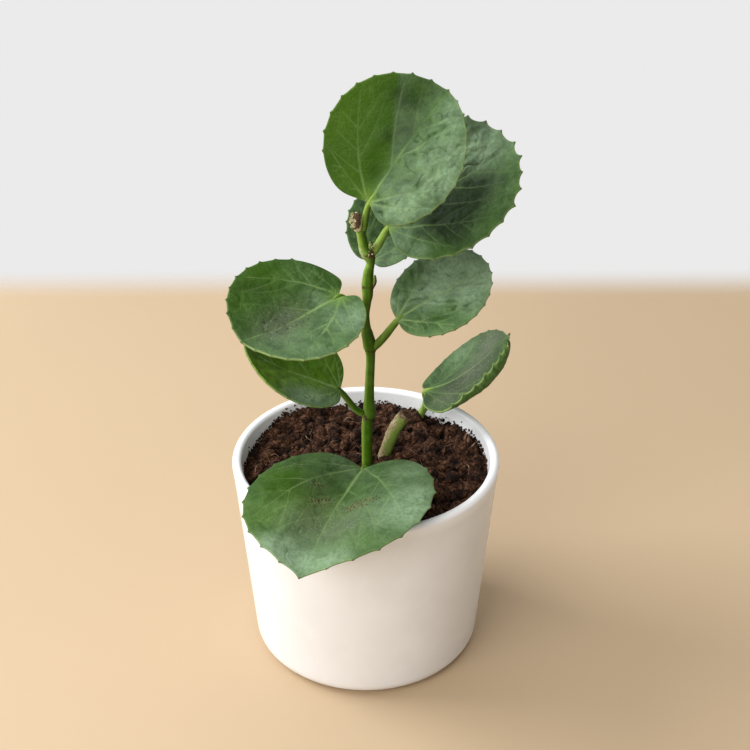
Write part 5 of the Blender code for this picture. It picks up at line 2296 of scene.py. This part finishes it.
@dataclass(frozen=True)
class Lamp:
    """A soft square light, with its power in watts and its side in metres."""

    name: str
    place: Point
    power: float
    size: float
    colour: Colour = (1.0, 1.0, 1.0)

    def hang(self, aim: Point) -> None:
        """Hang the light, turned towards a point.

        Args:
            aim: The point that it lights.
        """
        data = bpy.data.lights.new(self.name, "AREA")
        data.energy = self.power
        data.size = self.size
        data.color = self.colour
        lamp = bpy.data.objects.new(self.name, data)
        lamp.location = self.place
        lamp.rotation_euler = (Vector(aim) - Vector(self.place)).to_track_quat("-Z", "Y").to_euler()
        bpy.context.scene.collection.objects.link(lamp)


@dataclass(frozen=True)
class Studio:
    """Plain pale floor, soft light from the left, and the camera at the photograph's angle."""

    camera_at: Point = (0.0, -0.5285, 0.443)
    pitch_down: float = 30.0
    yaw_right: float = 0.447
    lens: float = 67.2
    sensor: float = 36.0
    floor_back: float = 0.4
    floor_reach: float = 2.0
    aim: Point = (0.0, 0.0, 0.1)
    lamps: tuple[Lamp, ...] = (
        Lamp("key", (-1.18, 0.32, 1.00), 25.0, 0.9, (0.95, 0.98, 1.04)),
        Lamp("front", (-0.95, -1.25, 0.9), 20.5, 1.2),
        Lamp("top", (-0.1, -0.1, 1.6), 13.0, 1.6))
    # Heights between which the surroundings fade, and their strength below and above
    sky: tuple[float, float, float, float] = (-0.2, 0.0, 0.83, 0.33)

    def build(self) -> None:
        """Make the floor, the lights and the camera."""
        self.floor()
        for lamp in self.lamps:
            lamp.hang(self.aim)
        self.surroundings()
        self.camera()
        bpy.context.scene.view_settings.view_transform = "Standard"

    def floor(self) -> None:
        """Make the floor."""
        reach, back = self.floor_reach, self.floor_back
        corners = np.array([(-reach, -reach, 0), (reach, -reach, 0), (reach, back, 0), (-reach, back, 0)])
        mesh = Form(corners, [(0, 1, 2, 3)]).mesh("studio_floor")
        mesh.materials.append(PaleFloor().material())
        floor = bpy.data.objects.new("studio_floor", mesh)
        bpy.context.scene.collection.objects.link(floor)

    def surroundings(self) -> None:
        """Light the surroundings evenly, more from below."""
        world = bpy.data.worlds.new("studio")
        world.use_nodes = True
        tree = Tree(world.node_tree)
        up = tree.node("ShaderNodeSeparateXYZ", None, {"Vector": tree.node("ShaderNodeTexCoord")}, "Z")
        background = world.node_tree.nodes["Background"]
        background.inputs["Color"].default_value = (1.0, 1.0, 1.0, 1.0)
        tree.connect(background.inputs["Strength"], tree.ramp(up, *self.sky))
        bpy.context.scene.world = world

    def camera(self) -> None:
        """Set the camera."""
        data = bpy.data.cameras.new("camera")
        data.lens = self.lens
        data.sensor_width = self.sensor
        camera = bpy.data.objects.new("camera", data)
        camera.location = self.camera_at
        camera.rotation_euler = (math.radians(90 - self.pitch_down), 0.0, -math.radians(self.yaw_right))
        bpy.context.scene.collection.objects.link(camera)
        bpy.context.scene.camera = camera


def main() -> None:
    """Build the plant, its pot and the studio."""
    logging.basicConfig(level=logging.INFO, format="%(name)s %(message)s")
    leaf_skin = LeafSkin().material()
    stem_skin = StemSkin().material()
    coir = CoirMix().material()
    fibre = CoirFibre().material()
    dried = DriedTissue().material()
    papery = DriedTissue(loose=True).material()
    Pot().build(GlazedCeramic().material())
    Soil().build(coir, fibre)
    WallDirt().build(coir)
    stem = Stem()
    stem.build(stem_skin)
    stem.bits(papery)
    Stump().build(DryBark().material(), DriedTissue(loose=True, share=0.3).material())
    DriedTip().build(dried, papery)
    maker = LeafMaker()
    for number, leaf in enumerate(LEAVES):
        maker.build(leaf, 200 + number, leaf_skin, stem_skin)
    Studio().build()


if __name__ == "__main__":
    main()
